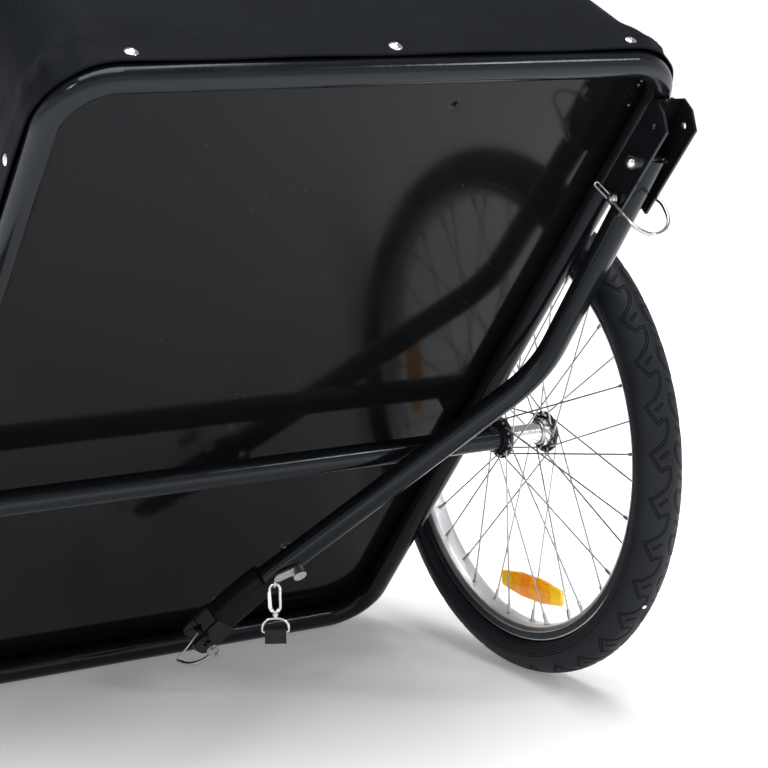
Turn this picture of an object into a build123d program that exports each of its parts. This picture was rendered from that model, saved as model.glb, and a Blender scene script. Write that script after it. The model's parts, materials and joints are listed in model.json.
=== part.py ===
"""Bicycle cargo trailer: fabric load box on a tube floor frame, two spoked
wheels and a tow arm that folds under the floor.

The trailer is modelled level, with X forward, Y to the left and Z up, and its
origin on the axle line between the wheels.  Every piece is then tipped back by
the same angle, so that the trailer rests on its wheels and its rear rail, and
is moved so that the origin lies under the middle of the whole trailer.
"""
import os
from math import asin, atan2, cos, degrees, hypot, radians, sin, tan

from build123d import *

# ---------------------------------------------------------------- sizes (mm)
# floor frame
rail_diameter = 25.0
rail_wall = 2.0
frame_half_width = 297.0          # to the centreline of the side rails
frame_front = 512.0               # to the centreline of the front rail
frame_rear = 347.0                # behind the axle
frame_corner_radius = 50.0        # of the centreline
bend_slack = 0.01                 # keeps a short straight between two bends
panel_thickness = 3.0
panel_overlap = 6.0               # past the rails' centreline

# axle
axle_tube_diameter = 25.0
axle_tube_wall = 2.0
axle_tube_end_gap = 3.0           # from the tube's end to the hub
axle_pin_radius = 6.0
axle_pin_inside = 55.0            # length of pin inside the axle tube
axle_bore_clearance = 0.05
button_radius = 9.0
button_length = 9.0
button_chamfer = 2.0
button_gap = 1.0                  # from the hub's end
saddle_length = 34.0
saddle_width = 20.0
saddle_height = 18.0
weld_gap = 0.05

# wheels
wheel_gap = 19.0                  # between the side rail and the tyre
tyre_height = 43.0                # from the rim's seat to the tread
tyre_width = 48.0
tyre_neck_width = 24.0
tyre_neck_gap = 1.0               # over the rim's flanges
tyre_facets = 4                   # over the tread, from side to side
rim_seat_radius = 211.0
rim_flange_height = 6.5           # above the seat
rim_flange_thickness = 2.0
rim_flange_root = 2.0             # below the seat
rim_depth = 9.5                   # from the seat to the spoke bed
rim_bed_width = 12.0
rim_wall = 2.0
rim_web = 1.0
seat_gap = 0.3
hub_flange_spacing = 57.0
hub_flange_radius = 22.0
hub_flange_thickness = 3.0
hub_shell_radius = 10.75
hub_cup_radius = 15.0
hub_cup_length = 9.0
hub_end_length = 4.0              # past each flange
hub_end_step = 1.5                # over the shell
hub_flange_step = 1.0
spoke_count = 36
spoke_diameter = 2.0
spoke_hole_radius = 19.0
spoke_cross_holes = 6             # holes from head to straight-up spoke line
spoke_head_offset = 3.3
spoke_rim_offset = 3.0
nipple_radius = 2.2
nipple_length = 11.0
reflector_length = 82.0
reflector_width = 24.0
reflector_depth = 4.6
reflector_corner_radius = 6.0
reflector_rim_gap = 26.5          # between the reflector and the rim
reflector_shift = 1.4             # outwards, to lie against the outer spokes
reflector_angle = -133.0

# tow arm
arm_diameter = 26.0
arm_wall = 2.0
arm_pivot_x = 420.0
arm_axle_clearance = 6.0          # between the folded arm and the axle tube
arm_overhang = 9.0                # of the tube past its pivot
arm_run = 281.0                   # pivot to bend
arm_reach = 358.0                 # bend to end
arm_bend_angle = 38.6
arm_bend_radius = 110.0
pivot_bolt_radius = 4.0
pivot_clearance = 0.1
lock_hole_radius = 3.3
lock_hole_distance = 44.0
channel_plate = 3.0
channel_side_gap = 2.0            # each side of the arm
channel_top_gap = 4.5             # over the arm
channel_lip = 2.0                 # flange below the arm
channel_ahead = 62.0
channel_behind = 56.0
channel_chamfer = 17.0
channel_chamfer_length = 10.2
channel_nose = 3.0
channel_edge_radius = 0.8
bolt_head_radius = 6.5
bolt_head_height = 5.0

# hitch
coupler_length = 62.0
coupler_width = 38.0
coupler_depth = 24.0
coupler_corner_radius = 8.0
coupler_droop = 8.0               # degrees
fork_plate = 3.0
fork_opening = 20.0
fork_width = 32.0
fork_length = 42.0
fork_tip_radius = 12.0
hitch_bore_radius = 5.0
hitch_bore_distance = 28.0        # from the fork's web
end_bolt_distance = 35.0          # from the arm's end
end_bolt_radius = 4.0
end_knob_radius = 7.0
end_knob_height = 8.0
end_head_height = 4.0
tab_length = 32.0
tab_turn = 25.0                   # degrees, to the arm's inner side
tab_width = 13.0
tab_thickness = 2.5
eye_radius = 3.6                  # of the eye's centreline
eye_wire = 2.4
hook_wire = 3.2
hook_length = 32.0
hook_width = 14.0
swivel_radius = 2.4
swivel_length = 6.0
ring_wire = 3.0
ring_width = 30.0
ring_height = 14.0
ring_arch_radius = 10.0           # of the ring's upper corners
ring_corner_radius = 2.0
hang_yaw = 60.0                   # of the hook's flat side about the plumb line
strap_width = 22.0
strap_thickness = 2.5
strap_length = 17.0

# load box
fabric = 3.0
fabric_gap = 0.3                  # between the fabric and the frame
wall_bottom_rise = 3.0            # above the middle of the rails
body_top = 360.0
body_top_inset = 36.0
body_nose_inset = 70.0
cover_rise = 34.0
cover_inset = 70.0

# hoops that hold the fabric up
hoop_diameter = 19.0
hoop_wall = 1.5
hoop_gap = 0.5                    # from the fabric
hoop_corner_radius = 45.0

# cuts reach this far past what they cut
cut_margin = 1.0

# ------------------------------------------------------------ derived places
rail_radius = rail_diameter / 2
axle_tube_radius = axle_tube_diameter / 2
rail_height = axle_tube_radius + rail_radius
panel_height = rail_height + rail_radius
wheel_radius = rim_seat_radius + tyre_height
rim_flange_radius = rim_seat_radius + rim_flange_height
rim_inner_radius = rim_seat_radius - rim_depth
reflector_distance = rim_inner_radius - reflector_rim_gap - reflector_width / 2
wheel_plane = frame_half_width + rail_radius + wheel_gap + tyre_width / 2
arm_radius = arm_diameter / 2
channel_inner_width = arm_diameter + 2 * channel_side_gap
channel_outer_width = channel_inner_width + 2 * channel_plate
channel_top = rail_height - rail_radius
channel_ceiling = channel_top - channel_plate
arm_pivot = Vector(arm_pivot_x, frame_half_width, channel_ceiling - channel_top_gap - arm_radius)
channel_bottom = arm_pivot.Z - arm_radius - channel_lip
arm_drop = arm_pivot.Z + axle_tube_radius + arm_radius + arm_axle_clearance
arm_slope = degrees(asin(arm_drop / hypot(arm_pivot_x, arm_drop)))

# the trailer's rest: wheels and rear rail on the floor
rest_reach = hypot(frame_rear, rail_height)
rest_tilt = degrees(
    asin((wheel_radius - rail_radius) / rest_reach) + atan2(rail_height, frame_rear)
)

pieces = []


def finish(builder, label):
    """Name a finished piece and keep it for export."""
    builder.part.label = label
    pieces.append(builder.part)


# ---------------------------------------------------------------- floor frame
side_front = frame_front - frame_corner_radius
side_rear = -frame_rear + frame_corner_radius
for label, end_x, side_x in (
    ("front_rail", frame_front, side_front),
    ("rear_rail", -frame_rear, side_rear),
):
    with BuildPart() as end_rail:
        with BuildLine(Plane.XY.offset(rail_height)) as end_path:
            FilletPolyline(
                (side_x, -frame_half_width),
                (end_x, -frame_half_width),
                (end_x, frame_half_width),
                (side_x, frame_half_width),
                radius=frame_corner_radius - bend_slack,
            )
        with BuildSketch(Plane(origin=end_path.line @ 0, z_dir=end_path.line % 0)):
            Circle(rail_radius)
            Circle(rail_radius - rail_wall, mode=Mode.SUBTRACT)
        sweep(path=end_path.line)
    finish(end_rail, label)

for label, side in (("left_rail", 1), ("right_rail", -1)):
    rail_plane = Plane(
        origin=(side_rear, side * frame_half_width, rail_height), z_dir=(1, 0, 0)
    )
    with BuildPart() as side_rail:
        with BuildSketch(rail_plane):
            Circle(rail_radius)
            Circle(rail_radius - rail_wall, mode=Mode.SUBTRACT)
        extrude(amount=side_front - side_rear)
    finish(side_rail, label)

panel_middle = (frame_front - frame_rear) / 2
with BuildPart() as floor_panel:
    with BuildSketch(Plane((panel_middle, 0, panel_height))):
        RectangleRounded(
            frame_front + frame_rear + 2 * panel_overlap,
            2 * (frame_half_width + panel_overlap),
            frame_corner_radius + panel_overlap,
        )
    extrude(amount=panel_thickness)
finish(floor_panel, "floor_panel")

# ----------------------------------------------------------------------- axle
hub_inner_end = hub_flange_spacing / 2 + hub_end_length
axle_tube_half = wheel_plane - hub_inner_end - axle_tube_end_gap
with BuildPart() as axle_tube:
    with BuildSketch(Plane.XZ.offset(-axle_tube_half)):
        Circle(axle_tube_radius)
        Circle(axle_tube_radius - axle_tube_wall, mode=Mode.SUBTRACT)
    extrude(amount=2 * axle_tube_half)
finish(axle_tube, "axle_tube")

for name, side in (("left", 1), ("right", -1)):
    # block that joins the axle tube to the rail above it
    with BuildPart() as saddle:
        with Locations((0, side * frame_half_width, rail_height / 2)):
            Box(saddle_length, saddle_width, saddle_height)
        with Locations(Location((0, 0, 0), (90, 0, 0))):
            Cylinder(axle_tube_radius + weld_gap, 4 * frame_half_width, mode=Mode.SUBTRACT)
        with Locations(Location((0, side * frame_half_width, rail_height), (0, 90, 0))):
            Cylinder(rail_radius + weld_gap, 2 * saddle_length, mode=Mode.SUBTRACT)
    finish(saddle, f"axle_saddle_{name}")

    # bushing in the axle tube's end
    bush_outer = axle_tube_radius - axle_tube_wall
    bush_start = axle_tube_half - axle_pin_inside
    with BuildPart() as bushing:
        with BuildSketch(Plane.YZ):
            with Locations((side * (axle_tube_half - axle_pin_inside / 2), 0)):
                with Locations((0, (bush_outer + axle_pin_radius) / 2)):
                    Rectangle(axle_pin_inside, bush_outer - axle_pin_radius)
        revolve(axis=Axis.Y)
    finish(bushing, f"axle_bushing_{name}")

    # fixed pin that the wheel turns on, with its release button
    pin_end = wheel_plane + hub_inner_end + button_gap
    with BuildPart() as axle_pin:
        with BuildSketch(Plane.YZ):
            with BuildLine():
                Polyline(
                    (side * bush_start, 0),
                    (side * bush_start, axle_pin_radius),
                    (side * pin_end, axle_pin_radius),
                    (side * pin_end, button_radius),
                    (side * (pin_end + button_length - button_chamfer), button_radius),
                    (side * (pin_end + button_length), button_radius - button_chamfer),
                    (side * (pin_end + button_length), 0),
                    close=True,
                )
            make_face()
        revolve(axis=Axis.Y)
    finish(axle_pin, f"axle_pin_{name}")

# --------------------------------------------------------------------- wheels
tyre_middle = wheel_radius - tyre_width / 2
tyre_half = tyre_width / 2
neck_half = tyre_neck_width / 2
neck_radius = rim_flange_radius + tyre_neck_gap
for name, side in (("left", 1), ("right", -1)):
    middle = side * wheel_plane
    # tyre: round section with a neck between the rim's flanges
    tread_angles = [180 * step / tyre_facets for step in range(tyre_facets + 1)]
    section = [
        (middle + neck_half, rim_seat_radius + seat_gap),
        (middle + neck_half, neck_radius),
    ]
    for angle in tread_angles:
        turn = radians(angle)
        section.append((middle + tyre_half * cos(turn), tyre_middle + tyre_half * sin(turn)))
    section.append((middle - neck_half, neck_radius))
    section.append((middle - neck_half, rim_seat_radius + seat_gap))
    with BuildPart() as tyre:
        with BuildSketch(Plane.YZ):
            with BuildLine():
                Polyline(*section, close=True)
            make_face()
        revolve(axis=Axis.Y)
    finish(tyre, f"tyre_{name}")

    # rim: hollow box under a seat with two flanges
    flange_in = neck_half + seat_gap
    flange_out = flange_in + rim_flange_thickness
    bed_half = rim_bed_width / 2
    with BuildPart() as rim:
        with BuildSketch(Plane.YZ):
            with BuildLine():
                Polyline(
                    (middle - flange_in, rim_flange_radius),
                    (middle - flange_in, rim_seat_radius),
                    (middle + flange_in, rim_seat_radius),
                    (middle + flange_in, rim_flange_radius),
                    (middle + flange_out, rim_flange_radius),
                    (middle + flange_out, rim_seat_radius - rim_flange_root),
                    (middle + bed_half, rim_inner_radius),
                    (middle - bed_half, rim_inner_radius),
                    (middle - flange_out, rim_seat_radius - rim_flange_root),
                    (middle - flange_out, rim_flange_radius),
                    close=True,
                )
            make_face()
            with BuildLine():
                Polyline(
                    (middle - flange_in + rim_web, rim_seat_radius - rim_wall),
                    (middle + flange_in - rim_web, rim_seat_radius - rim_wall),
                    (middle + bed_half - rim_wall, rim_inner_radius + rim_wall),
                    (middle - bed_half + rim_wall, rim_inner_radius + rim_wall),
                    close=True,
                )
            make_face(mode=Mode.SUBTRACT)
        revolve(axis=Axis.Y)
    finish(rim, f"rim_{name}")

    # hub: shell, two flanges, and a cup inside the outer one
    flange_at = hub_flange_spacing / 2
    half_plate = hub_flange_thickness / 2
    bore = axle_pin_radius + axle_bore_clearance
    end_radius = hub_shell_radius + hub_end_step
    with BuildPart() as hub:
        with BuildSketch(Plane.YZ):
            with BuildLine():
                Polyline(
                    (middle - side * hub_inner_end, bore),
                    (middle - side * hub_inner_end, end_radius),
                    (middle - side * (flange_at + half_plate), end_radius),
                    (middle - side * (flange_at + half_plate), hub_flange_radius),
                    (middle - side * (flange_at - half_plate), hub_flange_radius),
                    (middle - side * (flange_at - half_plate), hub_shell_radius + hub_flange_step),
                    (middle - side * (flange_at - 3 * half_plate), hub_shell_radius),
                    (middle + side * (flange_at - hub_cup_length), hub_shell_radius),
                    (middle + side * (flange_at - hub_cup_length), hub_cup_radius),
                    (middle + side * (flange_at - half_plate), hub_cup_radius + hub_flange_step),
                    (middle + side * (flange_at - half_plate), hub_flange_radius),
                    (middle + side * (flange_at + half_plate), hub_flange_radius),
                    (middle + side * (flange_at + half_plate), end_radius),
                    (middle + side * hub_inner_end, end_radius),
                    (middle + side * hub_inner_end, bore),
                    close=True,
                )
            make_face()
        revolve(axis=Axis.Y)
    finish(hub, f"hub_{name}")

    # spokes: half go to each flange, crossing on the way to the rim
    spoke_step = 360 / spoke_count
    spoke_tip_radius = rim_inner_radius - 2 * seat_gap
    with BuildPart() as spokes:
        for index in range(spoke_count):
            flange_side = 1 if index % 2 == 0 else -1
            lean = 1 if (index // 2) % 2 == 0 else -1
            rim_turn = radians(index * spoke_step)
            hub_turn = rim_turn + lean * radians(spoke_cross_holes * spoke_step)
            head_y = flange_side * (flange_at + lean * spoke_head_offset)
            head = Vector(
                spoke_hole_radius * cos(hub_turn), middle + head_y, spoke_hole_radius * sin(hub_turn)
            )
            tip = Vector(
                spoke_tip_radius * cos(rim_turn),
                middle + flange_side * spoke_rim_offset,
                spoke_tip_radius * sin(rim_turn),
            )
            along = (tip - head).normalized()
            with BuildSketch(Plane(origin=head, z_dir=along)):
                Circle(spoke_diameter / 2)
            extrude(amount=(tip - head).length)
            with BuildSketch(Plane(origin=tip, z_dir=-along)):
                Circle(nipple_radius)
            extrude(amount=nipple_length)
    finish(spokes, f"spokes_{name}")

    # reflector held between the spokes
    turn = radians(reflector_angle)
    outward = Vector(cos(turn), 0, sin(turn))
    reflector_plane = Plane(
        origin=Vector(0, middle + side * reflector_shift, 0) + outward * reflector_distance,
        x_dir=(-sin(turn), 0, cos(turn)),
        z_dir=(0, side, 0),
    )
    with BuildPart() as reflector:
        with BuildSketch(reflector_plane):
            RectangleRounded(reflector_length, reflector_width, reflector_corner_radius)
        extrude(amount=reflector_depth / 2, both=True)
    finish(reflector, f"reflector_{name}")

# ---------------------------------------------------------------- tow channel
channel_front = arm_pivot.X + channel_ahead
channel_back = arm_pivot.X - channel_behind
slope = radians(arm_slope)
lock_rest = arm_pivot + Vector(-cos(slope), 0, -sin(slope)) * lock_hole_distance
lock_deployed = arm_pivot + Vector(lock_hole_distance, 0, 0)
with BuildPart() as tow_channel:
    with BuildSketch(Plane.XZ.offset(-(frame_half_width + channel_outer_width / 2))):
        with BuildLine():
            Polyline(
                (channel_back, channel_top),
                (channel_front - channel_nose, channel_top),
                (channel_front, channel_top - channel_nose),
                (channel_front, channel_bottom + channel_chamfer),
                (channel_front - channel_chamfer_length, channel_bottom),
                (channel_back, channel_bottom),
                close=True,
            )
        make_face()
    extrude(amount=channel_outer_width)
    fillet(tow_channel.edges(), radius=channel_edge_radius)
    with BuildSketch(Plane.YZ.offset(channel_back - cut_margin)):
        with Locations((frame_half_width, channel_ceiling)):
            Rectangle(
                channel_inner_width,
                channel_ceiling - channel_bottom + cut_margin,
                align=(Align.CENTER, Align.MAX),
            )
    extrude(amount=channel_front - channel_back + 2 * cut_margin, mode=Mode.SUBTRACT)
    for place, radius in (
        (arm_pivot, pivot_bolt_radius),
        (lock_rest, lock_hole_radius),
        (lock_deployed, lock_hole_radius),
    ):
        with Locations(Location(place, (90, 0, 0))):
            Cylinder(radius, 2 * channel_outer_width, mode=Mode.SUBTRACT)
finish(tow_channel, "tow_channel")

outer_half = channel_outer_width / 2
with BuildPart() as pivot_bolt:
    with Locations(Location(arm_pivot, (90, 0, 0))):
        Cylinder(pivot_bolt_radius, channel_outer_width + 2 * bolt_head_height)
    for side in (1, -1):
        head_y = frame_half_width + side * (outer_half + bolt_head_height / 2)
        with Locations(Location((arm_pivot.X, head_y, arm_pivot.Z), (90, 0, 0))):
            Cylinder(bolt_head_radius, bolt_head_height)
finish(pivot_bolt, "pivot_bolt")

# -------------------------------------------------------------------- tow arm
arm_plane = Plane(
    origin=arm_pivot,
    x_dir=(-cos(slope), 0, -sin(slope)),
    z_dir=(sin(slope), 0, -cos(slope)),
)
bend = radians(arm_bend_angle)
arm_end_x = arm_run + arm_reach * cos(bend)
arm_end_y = -arm_reach * sin(bend)
with BuildPart() as tow_arm:
    with BuildLine(arm_plane) as arm_path:
        FilletPolyline(
            (-arm_overhang, 0), (arm_run, 0), (arm_end_x, arm_end_y), radius=arm_bend_radius
        )
    with BuildSketch(Plane(origin=arm_path.line @ 0, z_dir=arm_path.line % 0)):
        Circle(arm_radius)
        Circle(arm_radius - arm_wall, mode=Mode.SUBTRACT)
    sweep(path=arm_path.line)
    with Locations(Location(arm_pivot, (90, 0, 0))):
        Cylinder(pivot_bolt_radius + pivot_clearance, 2 * arm_diameter, mode=Mode.SUBTRACT)
    with Locations(Location(lock_rest, (90, 0, 0))):
        Cylinder(lock_hole_radius, 2 * arm_diameter, mode=Mode.SUBTRACT)
    arm_end = arm_path.line @ 1
    arm_dir = arm_path.line % 1
    arm_down = arm_plane.z_dir
    end_bolt_place = arm_end - arm_dir * end_bolt_distance
    with Locations(Plane(origin=end_bolt_place, z_dir=arm_down)):
        Cylinder(end_bolt_radius, 2 * arm_diameter, mode=Mode.SUBTRACT)
finish(tow_arm, "tow_arm")
arm_side = arm_down.cross(arm_dir)

# flexible coupler, hanging a little below the arm's line
droop = radians(coupler_droop)
droop_radius = coupler_length / droop
coupler_centre = arm_end + arm_down * droop_radius
coupler_end = (
    arm_end
    + arm_dir * (droop_radius * sin(droop))
    + arm_down * (droop_radius * (1 - cos(droop)))
)
hitch_dir = arm_dir * cos(droop) + arm_down * sin(droop)
hitch_down = arm_down * cos(droop) - arm_dir * sin(droop)
with BuildPart() as flex_coupler:
    with BuildSketch(Plane(origin=arm_end, x_dir=arm_side, z_dir=arm_dir)):
        RectangleRounded(coupler_width, coupler_depth, coupler_corner_radius)
    revolve(axis=Axis(coupler_centre, -arm_side), revolution_arc=coupler_droop)
finish(flex_coupler, "flex_coupler")

# hitch fork: a web and two cheeks with a bore for the hitch pin
fork_plane = Plane(origin=coupler_end, x_dir=hitch_dir, z_dir=hitch_down)
fork_half = fork_opening / 2 + fork_plate
with BuildPart() as hitch_fork:
    with BuildSketch(fork_plane.offset(-fork_half)):
        with Locations((fork_length / 2, 0)):
            Rectangle(fork_length, fork_width)
    extrude(amount=2 * fork_half)
    tip_edges = hitch_fork.edges().filter_by(Axis((0, 0, 0), hitch_down))
    fillet(tip_edges.group_by(Axis((0, 0, 0), hitch_dir))[-1], fork_tip_radius)
    with BuildSketch(fork_plane.offset(-fork_opening / 2)):
        with Locations((fork_plate + fork_length / 2, 0)):
            Rectangle(fork_length, 2 * fork_width)
    extrude(amount=fork_opening, mode=Mode.SUBTRACT)
    with BuildSketch(fork_plane.offset(-fork_half - cut_margin)):
        with Locations((hitch_bore_distance, 0)):
            Circle(hitch_bore_radius)
    extrude(amount=2 * (fork_half + cut_margin), mode=Mode.SUBTRACT)
finish(hitch_fork, "hitch_fork")

# bolt near the arm's end, with the tab that holds the safety hook
end_bolt_head = Plane(
    origin=end_bolt_place - arm_down * (arm_radius + end_head_height), z_dir=arm_down
)
with BuildPart() as end_bolt:
    with BuildSketch(end_bolt_head):
        Circle(end_bolt_radius)
    extrude(amount=end_head_height + arm_diameter + tab_thickness)
    with BuildSketch(end_bolt_head):
        Circle(end_knob_radius)
    extrude(amount=end_head_height)
    with BuildSketch(
        Plane(origin=end_bolt_place + arm_down * (arm_radius + tab_thickness), z_dir=arm_down)
    ):
        Circle(end_knob_radius)
    extrude(amount=end_knob_height)
finish(end_bolt, "end_bolt")

# the safety hook hangs plumb from the tab's eye while the trailer rests
tilt = radians(rest_tilt)
plumb = Vector(-sin(tilt), 0, -cos(tilt))
level = Vector(cos(tilt), 0, -sin(tilt))
hang_side = level * cos(radians(hang_yaw)) + Vector(0, 1, 0) * sin(radians(hang_yaw))
hang_front = hang_side.cross(plumb)
tab_dir = arm_dir * cos(radians(tab_turn)) - arm_side * sin(radians(tab_turn))
tab_plane = Plane(origin=end_bolt_place + arm_down * arm_radius, x_dir=tab_dir, z_dir=arm_down)
tab_tip = tab_plane.from_local_coords(Vector(tab_length - tab_width / 2, 0, tab_thickness))
eye_centre = tab_tip + plumb * eye_radius
with BuildPart() as hook_tab:
    with BuildSketch(tab_plane):
        with Locations(((tab_length - tab_width) / 2, 0)):
            SlotOverall(tab_length, tab_width)
        Circle(end_bolt_radius, mode=Mode.SUBTRACT)
    extrude(amount=tab_thickness)
    with Locations(Plane(origin=eye_centre, z_dir=hang_side)):
        Torus(eye_radius, eye_wire / 2)
finish(hook_tab, "hook_tab")

hook_sag = eye_radius - eye_wire / 2 - hook_wire / 2 - seat_gap
hook_plane = Plane(
    origin=eye_centre + plumb * (hook_sag + (hook_length - hook_wire) / 2),
    x_dir=hang_side,
    z_dir=hang_front,
)
loop_half = (hook_length - hook_width) / 2
loop_radius = (hook_width - hook_wire) / 2
with BuildPart() as snap_hook:
    with BuildLine(hook_plane) as hook_line:
        Line((-loop_radius, 0), (-loop_radius, loop_half))
        ThreePointArc(
            (-loop_radius, loop_half), (0, loop_half + loop_radius), (loop_radius, loop_half)
        )
        Line((loop_radius, loop_half), (loop_radius, -loop_half))
        ThreePointArc(
            (loop_radius, -loop_half), (0, -loop_half - loop_radius), (-loop_radius, -loop_half)
        )
        Line((-loop_radius, -loop_half), (-loop_radius, 0))
    hook_start = hook_plane.from_local_coords(Vector(-loop_radius, 0, 0))
    with BuildSketch(Plane(origin=hook_start, z_dir=plumb)):
        Circle(hook_wire / 2)
    sweep(path=hook_line.line)
    with BuildSketch(Plane(origin=hook_plane.from_local_coords(
            Vector(0, loop_half + loop_radius, 0)), z_dir=plumb)):
        Circle(swivel_radius)
    extrude(amount=swivel_length)
finish(snap_hook, "snap_hook")

ring_plane = Plane(
    origin=hook_plane.from_local_coords(
        Vector(0, loop_half + loop_radius + swivel_length + ring_wire / 2, 0)
    ),
    x_dir=hang_side,
    z_dir=hang_front,
)
ring_half = (ring_width - ring_wire) / 2
with BuildPart() as swivel_ring:
    with BuildLine(ring_plane) as ring_line:
        FilletPolyline(
            (-ring_half, 0),
            (ring_half, 0),
            (ring_half, ring_height),
            (-ring_half, ring_height),
            close=True,
            radius=(ring_arch_radius, ring_arch_radius, ring_corner_radius, ring_corner_radius),
        )
    with BuildSketch(Plane(origin=ring_line.line @ 0, z_dir=ring_line.line % 0)):
        Circle(ring_wire / 2)
    sweep(path=ring_line.line)
finish(swivel_ring, "swivel_ring")

strap_thick = ring_wire + 2 * (seat_gap + strap_thickness)
with BuildPart() as hook_strap:
    with BuildSketch(
        Plane(
            origin=ring_plane.from_local_coords(Vector(-strap_width / 2, ring_height, 0)),
            x_dir=plumb,
            z_dir=hang_side,
        )
    ):
        with Locations(((strap_length - strap_thick) / 2, 0)):
            SlotOverall(strap_length, strap_thick)
        Circle(ring_wire / 2 + seat_gap, mode=Mode.SUBTRACT)
    extrude(amount=strap_width)
finish(hook_strap, "hook_strap")

# ------------------------------------------------------------------- load box
wall_bottom = rail_height + wall_bottom_rise
skirt = rail_radius + fabric_gap
body_corner = frame_corner_radius + skirt

with BuildPart() as shell:
    for layer, mode in ((fabric, Mode.ADD), (0, Mode.SUBTRACT)):
        for height, nose, inset in (
            (wall_bottom, 0, 0),
            (body_top, body_nose_inset, body_top_inset),
        ):
            front = frame_front + skirt + layer - nose
            rear = frame_rear + skirt + layer - inset
            half_width = frame_half_width + skirt + layer - inset
            with BuildSketch(Plane.XY.offset(height)):
                with Locations(((front - rear) / 2, 0)):
                    RectangleRounded(front + rear, 2 * half_width, body_corner + layer)
        loft(mode=mode)

# the four walls meet on the corners' diagonals, seen from above
body_middle = (frame_front - frame_rear) / 2
wedge_reach = 3.0                 # times the distance to the corner
corner_x = wedge_reach * ((frame_front + frame_rear) / 2 - frame_corner_radius)
corner_y = wedge_reach * (frame_half_width - frame_corner_radius)
wall_cuts = {
    "wall_front": ((1, 1), (1, -1)),
    "wall_rear": ((-1, 1), (-1, -1)),
    "wall_left": ((1, 1), (-1, 1)),
    "wall_right": ((1, -1), (-1, -1)),
}
for label, (first, second) in wall_cuts.items():
    with BuildPart() as wall:
        add(shell.part)
        with BuildSketch(Plane.XY):
            with BuildLine():
                Polyline(
                    (body_middle, 0),
                    (body_middle + first[0] * corner_x, first[1] * corner_y),
                    (body_middle + second[0] * corner_x, second[1] * corner_y),
                    close=True,
                )
            make_face()
        extrude(amount=2 * body_top, mode=Mode.INTERSECT)
    finish(wall, label)

with BuildPart() as cover:
    for layer, mode in ((fabric, Mode.ADD), (0, Mode.SUBTRACT)):
        for height, inset in ((0, 0), (cover_rise - fabric + layer, cover_inset)):
            front = frame_front + skirt + layer - body_nose_inset - inset
            rear = frame_rear + skirt + layer - body_top_inset - inset
            half_width = frame_half_width + skirt + layer - body_top_inset - inset
            with BuildSketch(Plane.XY.offset(body_top + height)):
                with Locations(((front - rear) / 2, 0)):
                    RectangleRounded(front + rear, 2 * half_width, body_corner + layer)
        loft(mode=mode)
finish(cover, "cover")

# hoops inside the fabric: one at each end, standing on the floor over the rails
hoop_radius = hoop_diameter / 2
hoop_side = hoop_radius + hoop_gap
hoop_foot = panel_height
hoop_top = body_top - hoop_side
box_rise = body_top - wall_bottom
foot_share = (hoop_foot - wall_bottom) / box_rise
top_share = (hoop_top - wall_bottom) / box_rise
foot_half = frame_half_width + skirt - hoop_side - body_top_inset * foot_share
top_half = frame_half_width + skirt - hoop_side - body_top_inset * top_share
posts = []
for name, end_x, lean_x in (
    ("front", frame_front + skirt - body_corner, -body_nose_inset),
    ("rear", body_corner - frame_rear - skirt, body_top_inset),
):
    foot_point = Vector(end_x + lean_x * foot_share, 0, hoop_foot)
    top_point = Vector(end_x + lean_x * top_share, 0, hoop_top)
    up = (top_point - foot_point).normalized()
    hoop_plane = Plane(origin=foot_point, x_dir=(0, 1, 0), z_dir=Vector(0, 1, 0).cross(up))
    hoop_rise = (top_point - foot_point).length
    with BuildPart() as hoop:
        with BuildLine(hoop_plane) as hoop_path:
            FilletPolyline(
                (-foot_half, 0),
                (-top_half, hoop_rise),
                (top_half, hoop_rise),
                (foot_half, 0),
                radius=hoop_corner_radius,
            )
        with BuildSketch(Plane(origin=hoop_path.line @ 0, z_dir=hoop_path.line % 0)):
            Circle(hoop_radius)
            Circle(hoop_radius - hoop_wall, mode=Mode.SUBTRACT)
        sweep(path=hoop_path.line)
        split(bisect_by=Plane.XY.offset(panel_height + panel_thickness), keep=Keep.TOP)
    finish(hoop, f"hoop_{name}")
    posts.append((foot_point, top_point))

# bars from hoop to hoop, below the hoops' bends, with ends cut to fit the posts
bar_height = hoop_top - hoop_corner_radius - hoop_radius
bar_share = (bar_height - hoop_foot) / (hoop_top - hoop_foot)
bar_half = foot_half + (top_half - foot_half) * bar_share
front_x, rear_x = ((foot + (top - foot) * bar_share).X for foot, top in posts)
for name, side in (("left", 1), ("right", -1)):
    bar_plane = Plane(origin=(rear_x, side * bar_half, bar_height), z_dir=(1, 0, 0))
    with BuildPart() as top_bar:
        with BuildSketch(bar_plane):
            Circle(hoop_radius)
            Circle(hoop_radius - hoop_wall, mode=Mode.SUBTRACT)
        extrude(amount=front_x - rear_x)
        for foot, top in posts:
            post_foot = foot + Vector(0, side * foot_half, 0)
            post_top = top + Vector(0, side * top_half, 0)
            with BuildSketch(Plane(origin=post_foot, z_dir=post_top - post_foot)):
                Circle(hoop_radius + weld_gap)
            extrude(amount=(post_top - post_foot).length, mode=Mode.SUBTRACT)
    finish(top_bar, f"top_bar_{name}")

# ------------------------------------------------------- rest place and export
tipped = Location((0, 0, wheel_radius), (0, -rest_tilt, 0))
boxes = [piece.moved(tipped).bounding_box() for piece in pieces]
middle_x = (min(box.min.X for box in boxes) + max(box.max.X for box in boxes)) / 2
rest_place = Location((-middle_x, 0, 0)) * tipped
os.makedirs("parts", exist_ok=True)
for piece in pieces:
    placed = piece.moved(rest_place)
    placed.label = piece.label
    export_step(placed, f"parts/{placed.label}.step")
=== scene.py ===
"""Looks of a bicycle cargo trailer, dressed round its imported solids.

The trailer rests tipped back on its two wheels and its rear rail, with its tow
arm folded under the floor.  Pieces are worked out level, with X forward, Y to
the left, Z up and the origin on the axle, and are then set down by Rest.
"""
from __future__ import annotations

import json
import logging
import math
from dataclasses import dataclass
from enum import Enum
from typing import Callable, Iterable, Sequence

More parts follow.
